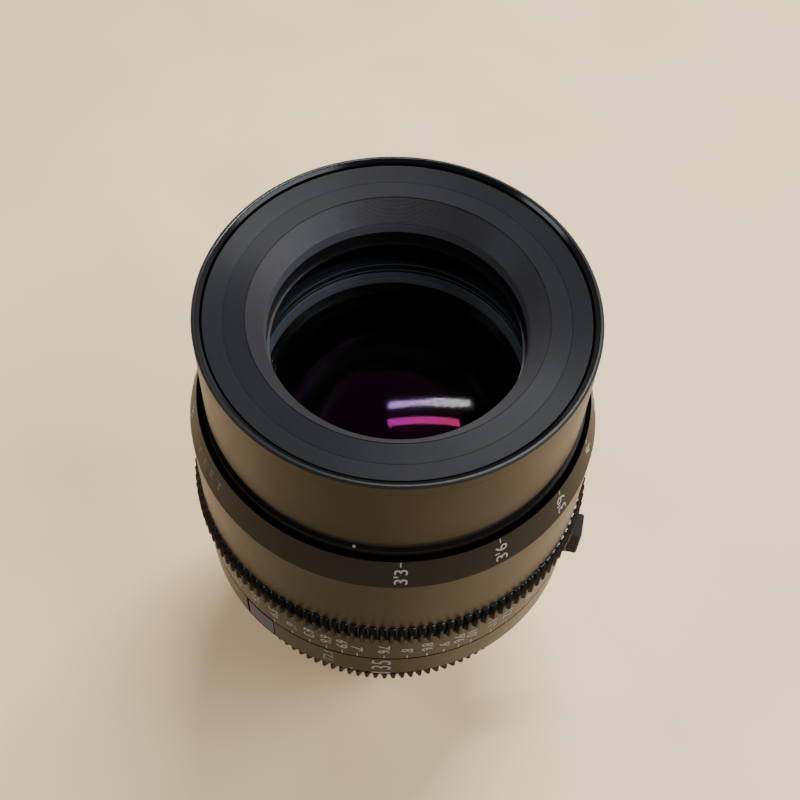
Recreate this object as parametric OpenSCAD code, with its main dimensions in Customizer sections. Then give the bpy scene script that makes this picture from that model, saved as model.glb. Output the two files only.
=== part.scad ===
// Cinema prime lens with a manual focus helicoid, a ten-blade iris and a four-lug bayonet.
// Millimetres. The origin is the centre of the flange seat on the optical axis, +Z points to
// the front glass, -Y is the side that carries the near reading index, +X carries the foot.

/* [Front] */
// Outside diameter of the front, the clamp size for a matte box
front_d = 95; // [94:0.5:104]
// Length of the front barrel, from its seat to the front rim
front_len = 26.8; // [26.8:0.2:34]
// Wall of the front barrel
front_wall = 2.1; // [1.8:0.1:2.2]
// Height of the separate front rim
rim_h = 3.1; // [2.6:0.1:3.6]
// Depth of the bevel inside the rim
rim_bevel = 1.1; // [0.8:0.1:1.4]
// Radial width of the bevel inside the rim
rim_bevel_w = 1.4; // [1:0.1:1.6]
// Dish of the front plate, outer edge to inner edge
plate_dish = 1.1; // [0.6:0.1:1.4]
// Outer radius of the baffle's raised ring
baffle_r = 40.4; // [39.5:0.1:41.5]
// Radius at the top of the stepped baffle cone
cone_top_r = 35.3; // [34.6:0.1:36]
// Radius of the opening at the foot of the stepped cone
opening_r = 30.9; // [30.5:0.1:31.5]
// Height of the stepped cone
cone_h = 5.1; // [4.5:0.1:5.5]
// Height of the plain throat under the cone
throat_h = 7.3; // [5:0.1:7.5]
// Steps turned into the cone against stray light
cone_steps = 8; // [5:1:10]

/* [Focus] */
// Wall of the fixed guide sleeve
guide_wall = 2.4; // [2:0.1:2.8]
// Wall of the helicoid nut
nut_wall = 2.2; // [1.8:0.1:2.6]
// Length of the helicoid nut
nut_len = 16; // [13:0.5:17]
// Wall of the focus ring
ring_wall = 2.8; // [2.6:0.1:3.4]
// Focus travel of the glass from rest to the close stop
travel_near = 17.1; // [14:0.1:17.1]
// Focus travel of the glass from rest to infinity
travel_far = 9.1; // [7:0.1:9.6]
// Axial rise of the helicoid in one turn
helix_lead = 34.3; // [33:0.1:40]
// Length of the rear distance scale
rear_scale_len = 10; // [9.8:0.1:12]
// Width of the follow-focus gear ring
focus_gear_w = 10.8; // [10.6:0.1:12]
// Length of the teeth at the front of that ring
focus_tooth_len = 7.6; // [6.5:0.1:8.5]
// Length of the plain grip in front of the gear
grip_len = 25; // [24.8:0.1:30]
// Length of the tapered front distance scale
front_scale_len = 9.1; // [8.9:0.1:10]
// Radius lost over the tapered scale
front_scale_taper = 2.5; // [2:0.1:2.6]
// Height of the fixed collar ahead of the focus ring
collar_len = 2.5; // [2.3:0.1:3.5]
// Gap between the focus ring and that collar
collar_gap = 1.8; // [1.6:0.1:2.4]
// Tooth size of both gears (module)
gear_module = 0.8; // [0.7:0.05:0.8]
// Bevel at the ends of the teeth
tooth_bevel = 1.3; // [0.6:0.1:1.4]

/* [Body] */
// Length of the fixed band that carries the index
band_len = 10.2; // [9.4:0.1:12]
// Thickness of the web inside the fixed band
web_t = 6; // [5:0.1:6.5]
// Length of the tapered rear housing
rear_len = 13.9; // [12:0.1:17]
// Wall of the rear housing tube
tube_wall = 2.8; // [2.4:0.1:3.2]
// Width of the support foot along the circumference
foot_w = 7.5; // [7:0.1:10]
// Reach of the support foot beyond the band
foot_reach = 4.4; // [3.5:0.1:6]
// Direction of the support foot round the axis
foot_angle = -9.5; // [-20:0.5:20]
// Diameter of the tapped hole in the foot
foot_hole_d = 4; // [3:0.5:4]

/* [Iris ring] */
// Length of the iris ring
iris_ring_len = 21.7; // [20:0.1:24]
// Wall of the iris ring
iris_ring_wall = 3.3; // [3:0.1:3.6]
// Length of the plain iris ring ahead of its gear
iris_front_len = 10.2; // [9.5:0.1:11]
// Face width of the iris gear
iris_gear_w = 5.9; // [5:0.1:6.5]
// Turn of the iris ring from open to closed
iris_throw = 75; // [60:1:80]

/* [Iris] */
// Radius of the open iris
iris_open_r = 18.5; // [17.5:0.1:18.8]
// Radius of the hole left when closed
iris_closed_r = 1.8; // [1.2:0.1:4]
// Width of a blade
blade_w = 7.3; // [7:0.1:7.6]
// Sheet thickness of a blade
blade_t = 0.15; // [0.1:0.01:0.2]
// Spacing of the blade layers
blade_pitch = 0.3; // [0.28:0.01:0.4]
// Distance from the blade edge to the circle of pivots
pivot_step = 5; // [4.6:0.1:5.4]
// Distance from a blade's pivot to its drive pin
drive_arm = 10.5; // [10:0.1:11]
// Diameter of a pivot pin
pivot_d = 1.4; // [1.2:0.05:1.6]
// Diameter of a drive pin
drive_d = 1.1; // [1:0.05:1.2]
// Thickness of the cam ring
cam_t = 2; // [1.6:0.1:2.4]
// Thickness of the plate that holds the pivots
pivot_plate_t = 3.2; // [2.5:0.1:4]
// Width of the bar that drives the cam ring
fork_w = 8; // [6:0.5:9]
// Thickness of that bar
fork_t = 1.6; // [1.2:0.1:1.8]

/* [Glass] */
// Radius of the front element
front_glass_r = 34.2; // [33.8:0.1:34.6]
// Radius of curvature of the front surface
front_curve = 95; // [88:1:98]
// Radius of the second element
second_glass_r = 32; // [31:0.1:32.4]
// Radius of the cemented pair ahead of the iris
third_glass_r = 27; // [26:0.1:28]
// Radius of the elements behind the iris
rear_glass_r = 19.5; // [19:0.1:20.5]
// Wall of the front cell
front_cell_wall = 2.7; // [2:0.1:2.7]
// Wall of the rear cell
rear_cell_wall = 3; // [2.4:0.1:3.6]
// Height of the hood ahead of the front element
cell_hood = 7.8; // [6:0.1:7.8]

/* [Mount] */
// Diameter of the mount's spigot
spigot_d = 54; // [54:0.1:55]
// Length of the spigot behind the flange
spigot_len = 20; // [18:0.5:22]
// Wall of the spigot
spigot_wall = 2.8; // [2.4:0.1:3.2]
// Diameter over the four lugs
lug_d = 71; // [69:0.5:73]
// Angle that one lug spans
lug_angle = 52; // [46:1:58]
// Thickness of the flange and its lugs
flange_t = 3.6; // [3:0.1:4.2]
// Length of the neck between lugs and base
neck_len = 2.9; // [2.6:0.1:3.6]
// Thickness of the mount's base
base_t = 2.9; // [2.5:0.1:3.4]
// Thickness of the brass shim
shim_t = 0.4; // [0.2:0.05:0.6]

/* [Clearances] */
// Radial gap of a running fit between rings
run_gap = 0.1; // [0.06:0.01:0.12]
// Radial gap between parts that slide or pass each other
slide_gap = 0.3; // [0.2:0.05:0.35]
// Axial gap between neighbouring rings
side_gap = 0.3; // [0.2:0.05:0.5]
// Gap between pieces that are screwed or glued together
fit_gap = 0.05; // [0.02:0.01:0.08]

/* [Hidden] */
$fn = 96;
eps = 0.01;
profile_fn = 720;

// Heights along the axis, from the flange seat to the front rim
z_base = flange_t + neck_len;
z_shim = z_base + base_t;
z_rear = z_shim + shim_t;
z_rear_top = z_rear + rear_len;
z_iris = z_rear_top + side_gap;
z_iris_top = z_iris + iris_ring_len;
z_band = z_iris_top + side_gap;
z_web_top = z_band + web_t;
z_band_top = z_band + band_len;
z_focus = z_band_top + side_gap;
z_focus_gear = z_focus + rear_scale_len;
z_grip = z_focus_gear + focus_gear_w;
z_focus_teeth = z_grip - focus_tooth_len;
z_front_scale = z_grip + grip_len;
z_focus_top = z_front_scale + front_scale_len;
z_collar = z_focus_top + collar_gap;
z_front = z_collar + collar_len;
z_rim = z_front + front_len;

// Radii of the focus side, from the front barrel outwards
front_r = front_d / 2;
front_bore_r = front_r - front_wall;
collar_step = 0.6;
guide_step = 0.9;
collar_r = front_r - collar_step;
guide_r = front_r - guide_step;
guide_bore_r = guide_r - guide_wall;
nut_bore_r = guide_r + slide_gap;
nut_r = nut_bore_r + nut_wall;
focus_bore_r = nut_r + run_gap;
barrel_r = focus_bore_r + ring_wall;
skirt_wall = 1.4;
skirt_r = focus_bore_r + skirt_wall;
rim_inner_r = skirt_r + slide_gap;
skirt_drop = 3.5;
land_top = z_focus + 1.9;
focus_teeth = round(2 * (barrel_r + gear_module) / gear_module);

// The helicoid nut, its keys and the web of the optical barrel at rest
nut_clear = 0.5;
z_nut = land_top + nut_clear + travel_far + nut_len / 2;
key_w = 8;
key_len = 12;
key_depth = 1.7;
key_reach = 1.2;
key_angles = [60, 180, 300];
key_play = 0.2;
optic_r = guide_bore_r - slide_gap;
optic_web_t = 4;
z_optic_web = z_nut - optic_web_t / 2;
z_cell = z_optic_web + optic_web_t;
optic_tail = 12;
optic_nose = 19;

// The iris, from the blades outwards
blade_count = 10;
blade_in_r = iris_open_r + 0.2;
blade_out_r = blade_in_r + blade_w;
pivot_r = blade_out_r + pivot_step;
blade_turn = 2 * asin((blade_in_r - iris_closed_r) / (2 * pivot_r));
drive_start = 84;
slot_play = 0.1;
pin_play = 0.08;
slot_margin = 1;
drive_far = norm([pivot_r + drive_arm * cos(drive_start), drive_arm * sin(drive_start)]);
drive_near = norm([pivot_r + drive_arm * cos(drive_start + blade_turn),
                   drive_arm * sin(drive_start + blade_turn)]);
slot_half = drive_d / 2 + slot_play;
cam_r = drive_far + slot_half + 1.7;
cam_bore_r = drive_near - slot_half - 1.7;
iris_bore_r = cam_r + run_gap;
iris_wall = 1.4;
iris_wall_r = iris_bore_r + iris_wall;
layer_gap = 0.3;
z_cam = z_optic_web - layer_gap - cam_t;
blade_stack = (blade_count - 1) * blade_pitch + blade_t;
z_blades = z_cam - layer_gap - blade_stack;
z_plate_top = z_blades - layer_gap;
z_plate = z_plate_top - pivot_plate_t;

// The bar from the iris ring to the cam ring, and the rings round it
fork_angle = 140;
fork_in_r = iris_wall_r + slide_gap + 0.3;
fork_r = fork_in_r + fork_t;
fork_leg_h = 5;
fork_seat = 1.2;
prong_w = 3;
arc_play = 4;
tube_bore_r = fork_r + slide_gap;
tube_r = tube_bore_r + tube_wall;
iris_ring_bore_r = tube_r + run_gap;
iris_ring_r = iris_ring_bore_r + iris_ring_wall;
iris_step = 1.4;
iris_core_r = iris_ring_r - iris_step;
iris_shoulder_r = iris_ring_r - 0.4;
iris_tail_r = iris_ring_bore_r + 1;
z_iris_front = z_iris_top - iris_front_len;
z_iris_gear = z_iris_front - iris_gear_w;
iris_teeth = round(2 * (iris_ring_r + gear_module) / gear_module);
z_fork_leg = z_iris_front + 2.4;
fork_overrun = 0.7;
z_fork_top = z_cam + cam_t + travel_near + fork_overrun;
optic_bore_r = fork_r + 0.5;

// The glass ahead of the iris, stacked on the lip of the front cell
cell_lip = 0.4;
fourth_curve = 36;
fourth_clear_r = 19;
third_curve = 70;
second_curve = 60;
second_back = 150;
second_clear_r = 30;
front_back = 300;
front_back_clear_r = second_glass_r - 0.5;
front_clear_r = front_glass_r - 1.3;
air_gap = 0.8;
fourth_t = 2.2;
third_t = 7.4;
second_t = 9;
front_t = 11.5;
z_fourth_rim = z_cell + cell_lip;
z_fourth = z_fourth_rim + sag(fourth_curve, fourth_clear_r);
z_cement = z_fourth + fourth_t;
z_third = z_cement + third_t;
z_second_back = z_third + air_gap;
z_second_seat = z_second_back - sag(second_back, second_clear_r);
z_second = z_second_back + second_t;
z_front_back = z_second + air_gap;
z_front_glass = z_front_back + front_t;
second_bore_r = second_glass_r + fit_gap;
front_bore_glass_r = front_glass_r + fit_gap;
z_front_seat = z_front_back - sag(front_back, front_back_clear_r);
z_front_edge = z_front_glass - sag(front_curve, front_clear_r);
front_cell_r = front_bore_glass_r + front_cell_wall;
retainer_h = 3.4;
hood_flare = 0.8;
z_cell_top = z_front_edge + cell_hood;

// The glass behind the iris, counted down from the pivot plate
rear_bore_r = rear_glass_r + fit_gap;
rear_cell_r = rear_bore_r + rear_cell_wall;
rear_clear_r = rear_glass_r - 2.3;
fifth_curve = 60;
fifth_back = 40;
sixth_back = 50;
seventh_curve = 50;
eighth_front = 45;
eighth_back = 70;
fifth_sink = 4.1;
fifth_t = 11;
sixth_t = 2.5;
seventh_gap = 4;
seventh_t = 7.5;
spacer_t = 0.5;
eighth_t = 3;
rear_lip = 0.9;
z_fifth = z_plate - fifth_sink;
z_fifth_back = z_fifth - fifth_t;
z_sixth_back = z_fifth_back - sixth_t;
z_sixth_rim = z_sixth_back - sag(sixth_back, rear_clear_r);
z_seventh = z_sixth_back - seventh_gap;
z_seventh_seat = z_seventh - sag(seventh_curve, rear_clear_r);
z_seventh_back = z_seventh - seventh_t;
z_eighth_rim = z_seventh_back - spacer_t;
z_eighth = z_eighth_rim - sag(eighth_front, rear_clear_r);
z_eighth_back = z_eighth - eighth_t;
z_rear_seat = z_eighth_back + sag(eighth_back, rear_clear_r);
z_rear_cell = z_eighth_back - rear_lip;
inner_retainer_h = 2.2;
rear_flange_t = 2.5;
rear_flange_r = rear_cell_r + 7;

// The mount
spigot_r = spigot_d / 2;
spigot_bore_r = spigot_r - spigot_wall;
lug_root_r = spigot_r + 2.5;
neck_r = spigot_r + 3.5;
base_r = spigot_r + 7.2;
mount_lip = 1.7;
mount_bolt_r = spigot_r + 4.4;
mount_bolt_angles = [45, 135, 225, 315];
screw_r = 1.1;
screw_head_r = 1.9;
screw_head_h = 1.5;
screw_reach = 4;
baffle_wall = 1.4;
mask_t = 1.2;
mask_w = 34;
mask_h = 24;

// The stop that ends the focus ring's turn
groove_depth = 2;
groove_in_r = skirt_r - skirt_wall - 0.1;
groove_out_r = skirt_r + 0.1;
lug_half = 1.5;
lug_play = 0.4;
rest_lug_angle = 20;
turn_near = 360 * travel_near / helix_lead;
turn_far = 360 * travel_far / helix_lead;
sleeve_bolt_r = (guide_bore_r + focus_bore_r) / 2;
sleeve_bolt_angles = [0, 60, 120, 180, 240, 300];

// Depth of a spherical cap of curvature radius c over the radius r
function sag(c, r) = c - sqrt(c * c - r * r);
function polar(r, a) = [r * cos(a), r * sin(a)];

// A ring between two radii and two heights
module ring(r_in, r_out, z0, z1) {
    rotate_extrude() translate([r_in, z0]) square([r_out - r_in, z1 - z0]);
}

// A wedge about the axis, for cutting arcs
module wedge(a0, a1, r, z0, z1) {
    arc_steps = 24;
    translate([0, 0, z0]) linear_extrude(z1 - z0) polygon(concat([[0, 0]],
        [for (i = [0:arc_steps]) polar(r / cos((a1 - a0) / arc_steps / 2),
                                       a0 + (a1 - a0) * i / arc_steps)]));
}

// A part of a ring between two angles
module arc(r_in, r_out, z0, z1, a0, a1) {
    intersection() {
        ring(r_in, r_out, z0, z1);
        wedge(a0, a1, 2 * r_out, z0 - 1, z1 + 1);
    }
}

// A bar along the axis that stands at one angle, cut from a ring so that it follows the curve
module curved_bar(r_in, r_out, z0, z1, width, angle) {
    intersection() {
        ring(r_in, r_out, z0, z1);
        rotate(angle) translate([0, -width / 2, z0 - 1]) cube([2 * r_out, width, z1 - z0 + 2]);
    }
}

// Gear teeth with straight flanks at 20 degrees, bevelled at both ends
module gear(teeth, r_in, z0, z1) {
    pitch_r = teeth * gear_module / 2;
    tip_r = pitch_r + gear_module;
    root_r = pitch_r - 1.25 * gear_module;
    bevel = tooth_bevel;
    function half_angle(r) = (PI * gear_module / 4 - (r - pitch_r) * tan(20)) / r * 180 / PI;
    flank = [root_r, pitch_r, tip_r];
    outline = [for (i = [0:teeth - 1]) each concat(
        [for (k = [0:2]) polar(flank[k], 360 * i / teeth - half_angle(flank[k]))],
        [for (k = [2:-1:0]) polar(flank[k], 360 * i / teeth + half_angle(flank[k]))])];
    intersection() {
        difference() {
            translate([0, 0, z0]) linear_extrude(z1 - z0) polygon(outline);
            translate([0, 0, z0 - 1]) cylinder(r = r_in, h = z1 - z0 + 2);
        }
        rotate_extrude() polygon([[r_in - 1, z0], [tip_r - bevel, z0], [tip_r + eps, z0 + bevel],
            [tip_r + eps, z1 - bevel], [tip_r - bevel, z1], [r_in - 1, z1]]);
    }
}

// One glass element: a positive curve bulges outwards, a negative one is hollow, 0 is flat.
// A hollow face reaches to its clear radius and leaves a flat rim outside it.
module element(r, z_back, back, z_face, face, clear_r) {
    z_lo = back < 0 ? z_back - sag(-back, clear_r) : z_back;
    z_hi = face < 0 ? z_face + sag(-face, clear_r) : z_face;
    rotate_extrude() intersection() {
        difference() {
            translate([0, z_lo]) square([r, z_hi - z_lo]);
            if (back < 0) translate([0, z_back + back]) circle(r = -back, $fn = profile_fn);
            if (face < 0) translate([0, z_face - face]) circle(r = -face, $fn = profile_fn);
        }
        if (back > 0) translate([0, z_back + back]) circle(r = back, $fn = profile_fn);
        else translate([0, z_lo]) square([r, z_hi - z_lo]);
        if (face > 0) translate([0, z_face - face]) circle(r = face, $fn = profile_fn);
        else translate([0, z_lo]) square([r, z_hi - z_lo]);
    }
}

// A cap screw along the axis, with its head at z and its shank towards +Z
module cap_screw(r, head_r, head_h, reach) {
    hex_r = 0.5 * head_r;
    difference() {
        union() {
            cylinder(r = head_r, h = head_h);
            cylinder(r = r, h = head_h + reach);
        }
        translate([0, 0, -eps]) cylinder(r = hex_r, h = 0.6 * head_h, $fn = 6);
    }
}

// The three keys that carry the nut's motion through the guide sleeve
module key_blocks(play) {
    for (a = key_angles)
        curved_bar(optic_r - key_depth - play, nut_bore_r + key_reach + play,
            z_nut - key_len / 2 - play, z_nut + key_len / 2 + play, key_w + 2 * play, a);
}

// Bayonet mount with four lugs, an index notch and a base for the screws
module lens_mount() {
    color("silver") difference() {
        union() {
            ring(spigot_bore_r, spigot_r, -spigot_len, eps);
            difference() {
                ring(spigot_bore_r, lug_d / 2, 0, flange_t);
                for (a = [0:90:270]) difference() {
                    wedge(a + lug_angle / 2, a + 90 - lug_angle / 2, lug_d, -1, flange_t + 1);
                    translate([0, 0, -2]) cylinder(r = lug_root_r, h = flange_t + 4);
                }
            }
            ring(spigot_bore_r, neck_r, flange_t - eps, z_base + eps);
            ring(spigot_bore_r - mount_lip, base_r, z_base, z_shim);
        }
        rotate(90) translate([lug_d / 2 - 3, -2, -1]) cube([4, 4, flange_t + 2]);
        for (a = mount_bolt_angles) rotate(a) translate([mount_bolt_r, 0, 0]) {
            translate([0, 0, z_base - 1]) cylinder(r = screw_r + fit_gap, h = base_t + 2);
            translate([0, 0, z_base - neck_len])
                cylinder(r = screw_head_r + fit_gap, h = neck_len + screw_head_h);
        }
    }
}

// Thin shim that sets the flange distance
module mount_shim() {
    color("goldenrod") difference() {
        ring(spigot_bore_r, base_r, z_shim, z_rear);
        for (a = mount_bolt_angles) rotate(a) translate([mount_bolt_r, 0, z_shim - 1])
            cylinder(r = screw_r + fit_gap, h = shim_t + 2);
    }
}

module mount_screws() {
    color("dimgray") for (a = mount_bolt_angles) rotate(a) translate([mount_bolt_r, 0, z_base])
        cap_screw(screw_r, screw_head_r, screw_head_h, base_t - screw_head_h + shim_t + screw_reach);
}

// Black tube in the spigot with a rectangular mask against stray light
module rear_baffle() {
    tube_r_out = spigot_bore_r - fit_gap;
    z_mask = 2 - spigot_len;
    color("black") difference() {
        union() {
            ring(tube_r_out - baffle_wall, tube_r_out, z_mask, z_base);
            translate([0, 0, z_mask]) cylinder(r = tube_r_out - baffle_wall + eps, h = mask_t);
        }
        translate([-mask_w / 2, -mask_h / 2, z_mask - 1]) cube([mask_w, mask_h, mask_t + 2]);
    }
}

// Tapered rear housing and the tube that the iris ring turns on
module rear_housing() {
    wall = 3;
    taper_start = 2.5;
    shoulder = 0.3;
    inner_drop = 2;
    shoulder_r = iris_tail_r - 0.2;
    z_tube_top = z_web_top - 1.5;
    color("#262321") difference() {
        rotate_extrude() polygon([
            [spigot_bore_r, z_rear], [base_r + 0.5, z_rear], [base_r + 1, z_rear + taper_start],
            [shoulder_r, z_rear_top - shoulder], [shoulder_r, z_rear_top], [tube_r, z_rear_top],
            [tube_r, z_tube_top], [tube_bore_r, z_tube_top],
            [tube_bore_r, z_rear_top - inner_drop],
            [base_r + 1 - wall, z_rear + wall + taper_start], [spigot_bore_r, z_rear + wall + taper_start]]);
        wedge_cut(z_fork_leg - side_gap, z_fork_leg + fork_leg_h + side_gap);
        for (a = mount_bolt_angles) rotate(a) translate([mount_bolt_r, 0, z_rear - 1])
            cylinder(r = screw_r + fit_gap, h = screw_reach + 1.5);
    }
}

// The arc that the fork sweeps when the iris ring turns
module wedge_cut(z0, z1) {
    half = asin(fork_w / 2 / fork_in_r) + arc_play / 2;
    wedge(fork_angle - half, fork_angle + iris_throw + half, 2 * tube_r, z0, z1);
}

// Fixed band with the index: a ring, the web inside it and the groove of the focus stop
module middle_barrel() {
    lip = 1.5;
    edge = 0.4;
    color("#262321") difference() {
        rotate_extrude() polygon([
            [tube_r + fit_gap, z_band], [barrel_r - edge, z_band], [barrel_r, z_band + edge],
            [barrel_r, z_band_top], [rim_inner_r, z_band_top], [rim_inner_r, z_web_top],
            [tube_r - lip, z_web_top], [tube_r - lip, z_web_top - lip],
            [tube_r + fit_gap, z_web_top - lip]]);
        ring(groove_in_r, groove_out_r, z_web_top - groove_depth, z_web_top + 1);
        rotate(foot_angle) translate([barrel_r - foot_sink(), -foot_w / 2 - fit_gap, z_band - 1])
            cube([barrel_r, foot_w + 2 * fit_gap, band_len + 2]);
        for (a = sleeve_bolt_angles) rotate(a) translate([sleeve_bolt_r, 0, z_band - 1]) {
            cylinder(r = screw_r + fit_gap, h = web_t + 2);
            cylinder(r = screw_head_r + fit_gap, h = screw_head_h + 1.3);
        }
    }
}

// The foot sits on a flat that is milled this deep into the band
function foot_sink() = 0.8;

// Block for a lens support, tapped from outside
module support_foot() {
    edge = 0.5;
    hole_depth = foot_reach + foot_sink() - 1;
    color("#1d1b1a") rotate(foot_angle) difference() {
        translate([barrel_r - foot_sink(), 0, z_band]) linear_extrude(band_len) polygon([
            [0, -foot_w / 2], [foot_sink() + foot_reach - edge, -foot_w / 2],
            [foot_sink() + foot_reach, edge - foot_w / 2], [foot_sink() + foot_reach, foot_w / 2 - edge],
            [foot_sink() + foot_reach - edge, foot_w / 2], [0, foot_w / 2]]);
        translate([barrel_r + foot_reach - hole_depth, 0, z_band + band_len / 2]) rotate([0, 90, 0])
            cylinder(d = foot_hole_d, h = hole_depth + 1);
    }
}

// Block in the groove that stops the focus ring at infinity and at the close end
module focus_stop() {
    color("dimgray") arc(groove_in_r + fit_gap, groove_out_r - fit_gap,
        z_web_top - groove_depth, z_web_top - fit_gap,
        rest_lug_angle + turn_near + lug_half + lug_play,
        rest_lug_angle - turn_far + 360 - lug_half - lug_play);
}

// Fixed sleeve that carries the front barrel and guides the optical barrel
module guide_sleeve() {
    spigot_h = 6;
    slot_z0 = z_nut - key_len / 2 - travel_far - nut_clear;
    slot_z1 = z_nut + key_len / 2 + travel_near + nut_clear;
    color("#1b1a1a") difference() {
        rotate_extrude() polygon([
            [guide_bore_r, z_web_top], [focus_bore_r - run_gap, z_web_top],
            [focus_bore_r - run_gap, land_top], [guide_r, land_top], [guide_r, z_collar],
            [collar_r, z_collar], [collar_r, z_front], [front_bore_r - fit_gap, z_front],
            [front_bore_r - fit_gap, z_front + spigot_h], [guide_bore_r, z_front + spigot_h]]);
        for (a = key_angles) rotate(a)
            translate([guide_bore_r - 2, -key_w / 2 - key_play, slot_z0])
                cube([guide_wall + 4, key_w + 2 * key_play, slot_z1 - slot_z0]);
        for (a = sleeve_bolt_angles) rotate(a) translate([sleeve_bolt_r, 0, z_web_top - 1])
            cylinder(r = screw_r + fit_gap, h = screw_reach + 1.5);
    }
}

module sleeve_screws() {
    sink = 1.3;
    color("dimgray") for (a = sleeve_bolt_angles) rotate(a)
        translate([sleeve_bolt_r, 0, z_band + sink - 1])
            cap_screw(screw_r, screw_head_r, screw_head_h, web_t - sink - screw_head_h + 1 + screw_reach);
}

// Bearing bush under the front scale ring, seated against the collar
module front_bearing() {
    color("#12110f") ring(guide_r, focus_bore_r - run_gap - 1, z_front_scale + 1, z_collar);
}

// Plain outer barrel behind the rim
module front_barrel() {
    seat = 1.3;
    ledge = 2;
    z_seat = z_rim - rim_h - ledge;
    foot_edge = 0.3;
    color("#262321") rotate_extrude() polygon([
        [front_bore_r, z_front], [front_r - foot_edge, z_front], [front_r, z_front + foot_edge],
        [front_r, z_rim - rim_h], [front_r - seat, z_rim - rim_h], [front_r - seat, z_seat],
        [front_bore_r - 1, z_seat], [front_bore_r - 1, z_front + 7], [front_bore_r, z_front + 7]]);
}

// Baffle: a flange, a flat ring, a stepped cone and a plain throat
module front_baffle() {
    flange_h = 1.4;
    wall = 2.1;
    crest = 0.2;
    z_flange = z_rim - rim_h - 2;
    z_top = z_rim - rim_bevel - plate_dish;
    z_cone = z_top - cone_h + crest;
    z_throat = z_cone - throat_h;
    lead_in = 0.4;
    bead = 0.6;
    under_r = cone_top_r + 0.9;
    throat_r = opening_r + 1.3;
    run = cone_top_r - opening_r - lead_in;
    color("#2b2b2d") rotate_extrude() polygon(concat(
        [[front_r - 1.5, z_flange], [front_r - 1.5, z_flange + flange_h],
         [baffle_r, z_flange + flange_h], [baffle_r, z_top], [cone_top_r, z_top + crest]],
        [for (i = [1:cone_steps]) each [
            [cone_top_r - run * (i - 0.5) / cone_steps, z_top + crest - cone_h * (i - 1) / cone_steps - 0.08],
            [cone_top_r - run * i / cone_steps, z_top + crest - cone_h * i / cone_steps]]],
        [[opening_r, z_cone - 2.7], [opening_r, z_throat + bead], [opening_r - bead, z_throat + bead],
         [opening_r - bead, z_throat], [throat_r, z_throat], [throat_r, z_cone - wall],
         [under_r, z_top - wall], [front_bore_r - 3, z_top - wall - 0.3], [front_bore_r - 2.5, z_flange]]));
}

// Dished plate between rim and baffle
module front_plate() {
    z_bottom = z_rim - rim_h - 0.6;
    z_outer = z_rim - rim_bevel;
    rim_in = front_r - 1 - rim_bevel_w;
    color("#3c3c3f") rotate_extrude() polygon([
        [baffle_r + fit_gap, z_bottom], [rim_in - fit_gap, z_bottom], [rim_in - fit_gap, z_outer],
        [baffle_r + fit_gap, z_outer - plate_dish]]);
}

// Glossy front rim with a bevel inside
module front_rim() {
    edge = 0.4;
    land = 0.6;
    rim_in = front_r - 1 - rim_bevel_w;
    spigot = 0.6;
    color("#121113") rotate_extrude() polygon([
        [rim_in, z_rim - rim_h - spigot], [front_r - 1.3 - fit_gap, z_rim - rim_h - spigot],
        [front_r - 1.3 - fit_gap, z_rim - rim_h], [front_r, z_rim - rim_h], [front_r, z_rim - edge],
        [front_r - edge, z_rim], [front_r - edge - land, z_rim], [rim_in, z_rim - rim_bevel]]);
}

// Focus ring: the threaded grip with a skirt behind it and a lug for the stop
module focus_ring() {
    spigot = 1.2;
    spigot_h = 2.3;
    lug_h = groove_depth - 0.4;
    edge = 0.4;
    z_skirt = z_focus - skirt_drop;
    color("#2a2724") {
        rotate_extrude() polygon([
            [focus_bore_r, z_skirt], [skirt_r, z_skirt], [skirt_r, z_grip], [barrel_r - edge, z_grip],
            [barrel_r, z_grip + edge], [barrel_r, z_front_scale], [focus_bore_r + spigot, z_front_scale],
            [focus_bore_r + spigot, z_front_scale - spigot_h], [focus_bore_r, z_front_scale - spigot_h]]);
        arc(focus_bore_r + fit_gap, skirt_r - fit_gap, z_web_top - lug_h, z_skirt + eps,
            rest_lug_angle - lug_half, rest_lug_angle + lug_half);
    }
}

// Follow-focus gear: teeth with a plain rim behind them
module focus_gear() {
    color("#161514") {
        gear(focus_teeth, skirt_r, z_focus_teeth - eps, z_grip);
        ring(skirt_r, barrel_r, z_focus_gear, z_focus_teeth);
    }
}

// Sleeve with the distance scale behind the gear
module rear_scale_ring() {
    edge = 0.3;
    color("#2a2724") rotate_extrude() polygon([
        [skirt_r, z_focus], [barrel_r - edge, z_focus], [barrel_r, z_focus + edge],
        [barrel_r, z_focus_gear], [skirt_r, z_focus_gear]]);
}

// Tapered ring with the distance scale ahead of the grip
module front_scale_ring() {
    spigot = 1.2;
    spigot_h = 2.3;
    edge = 0.4;
    bush_r = focus_bore_r - 1;
    top_r = barrel_r - front_scale_taper;
    lip_t = 0.8;
    lip_r = guide_r + 0.8;
    z_lip = z_front_scale - lip_t;
    color("#1f1c19") rotate_extrude() polygon([
        [focus_bore_r + fit_gap, z_front_scale - spigot_h],
        [focus_bore_r + spigot - fit_gap, z_front_scale - spigot_h],
        [focus_bore_r + spigot - fit_gap, z_front_scale], [barrel_r, z_front_scale],
        [top_r, z_focus_top - edge], [top_r - edge, z_focus_top], [bush_r, z_focus_top],
        [bush_r, z_front_scale + lip_t], [lip_r, z_front_scale + lip_t], [lip_r, z_lip],
        [focus_bore_r + fit_gap, z_lip]]);
}

// Nut that the helicoid moves along the axis without turning
module focus_nut() {
    color("goldenrod") difference() {
        ring(nut_bore_r, nut_r, z_nut - nut_len / 2, z_nut + nut_len / 2);
        key_blocks(0);
    }
}

module focus_keys() {
    color("dimgray") key_blocks(0);
}

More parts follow.
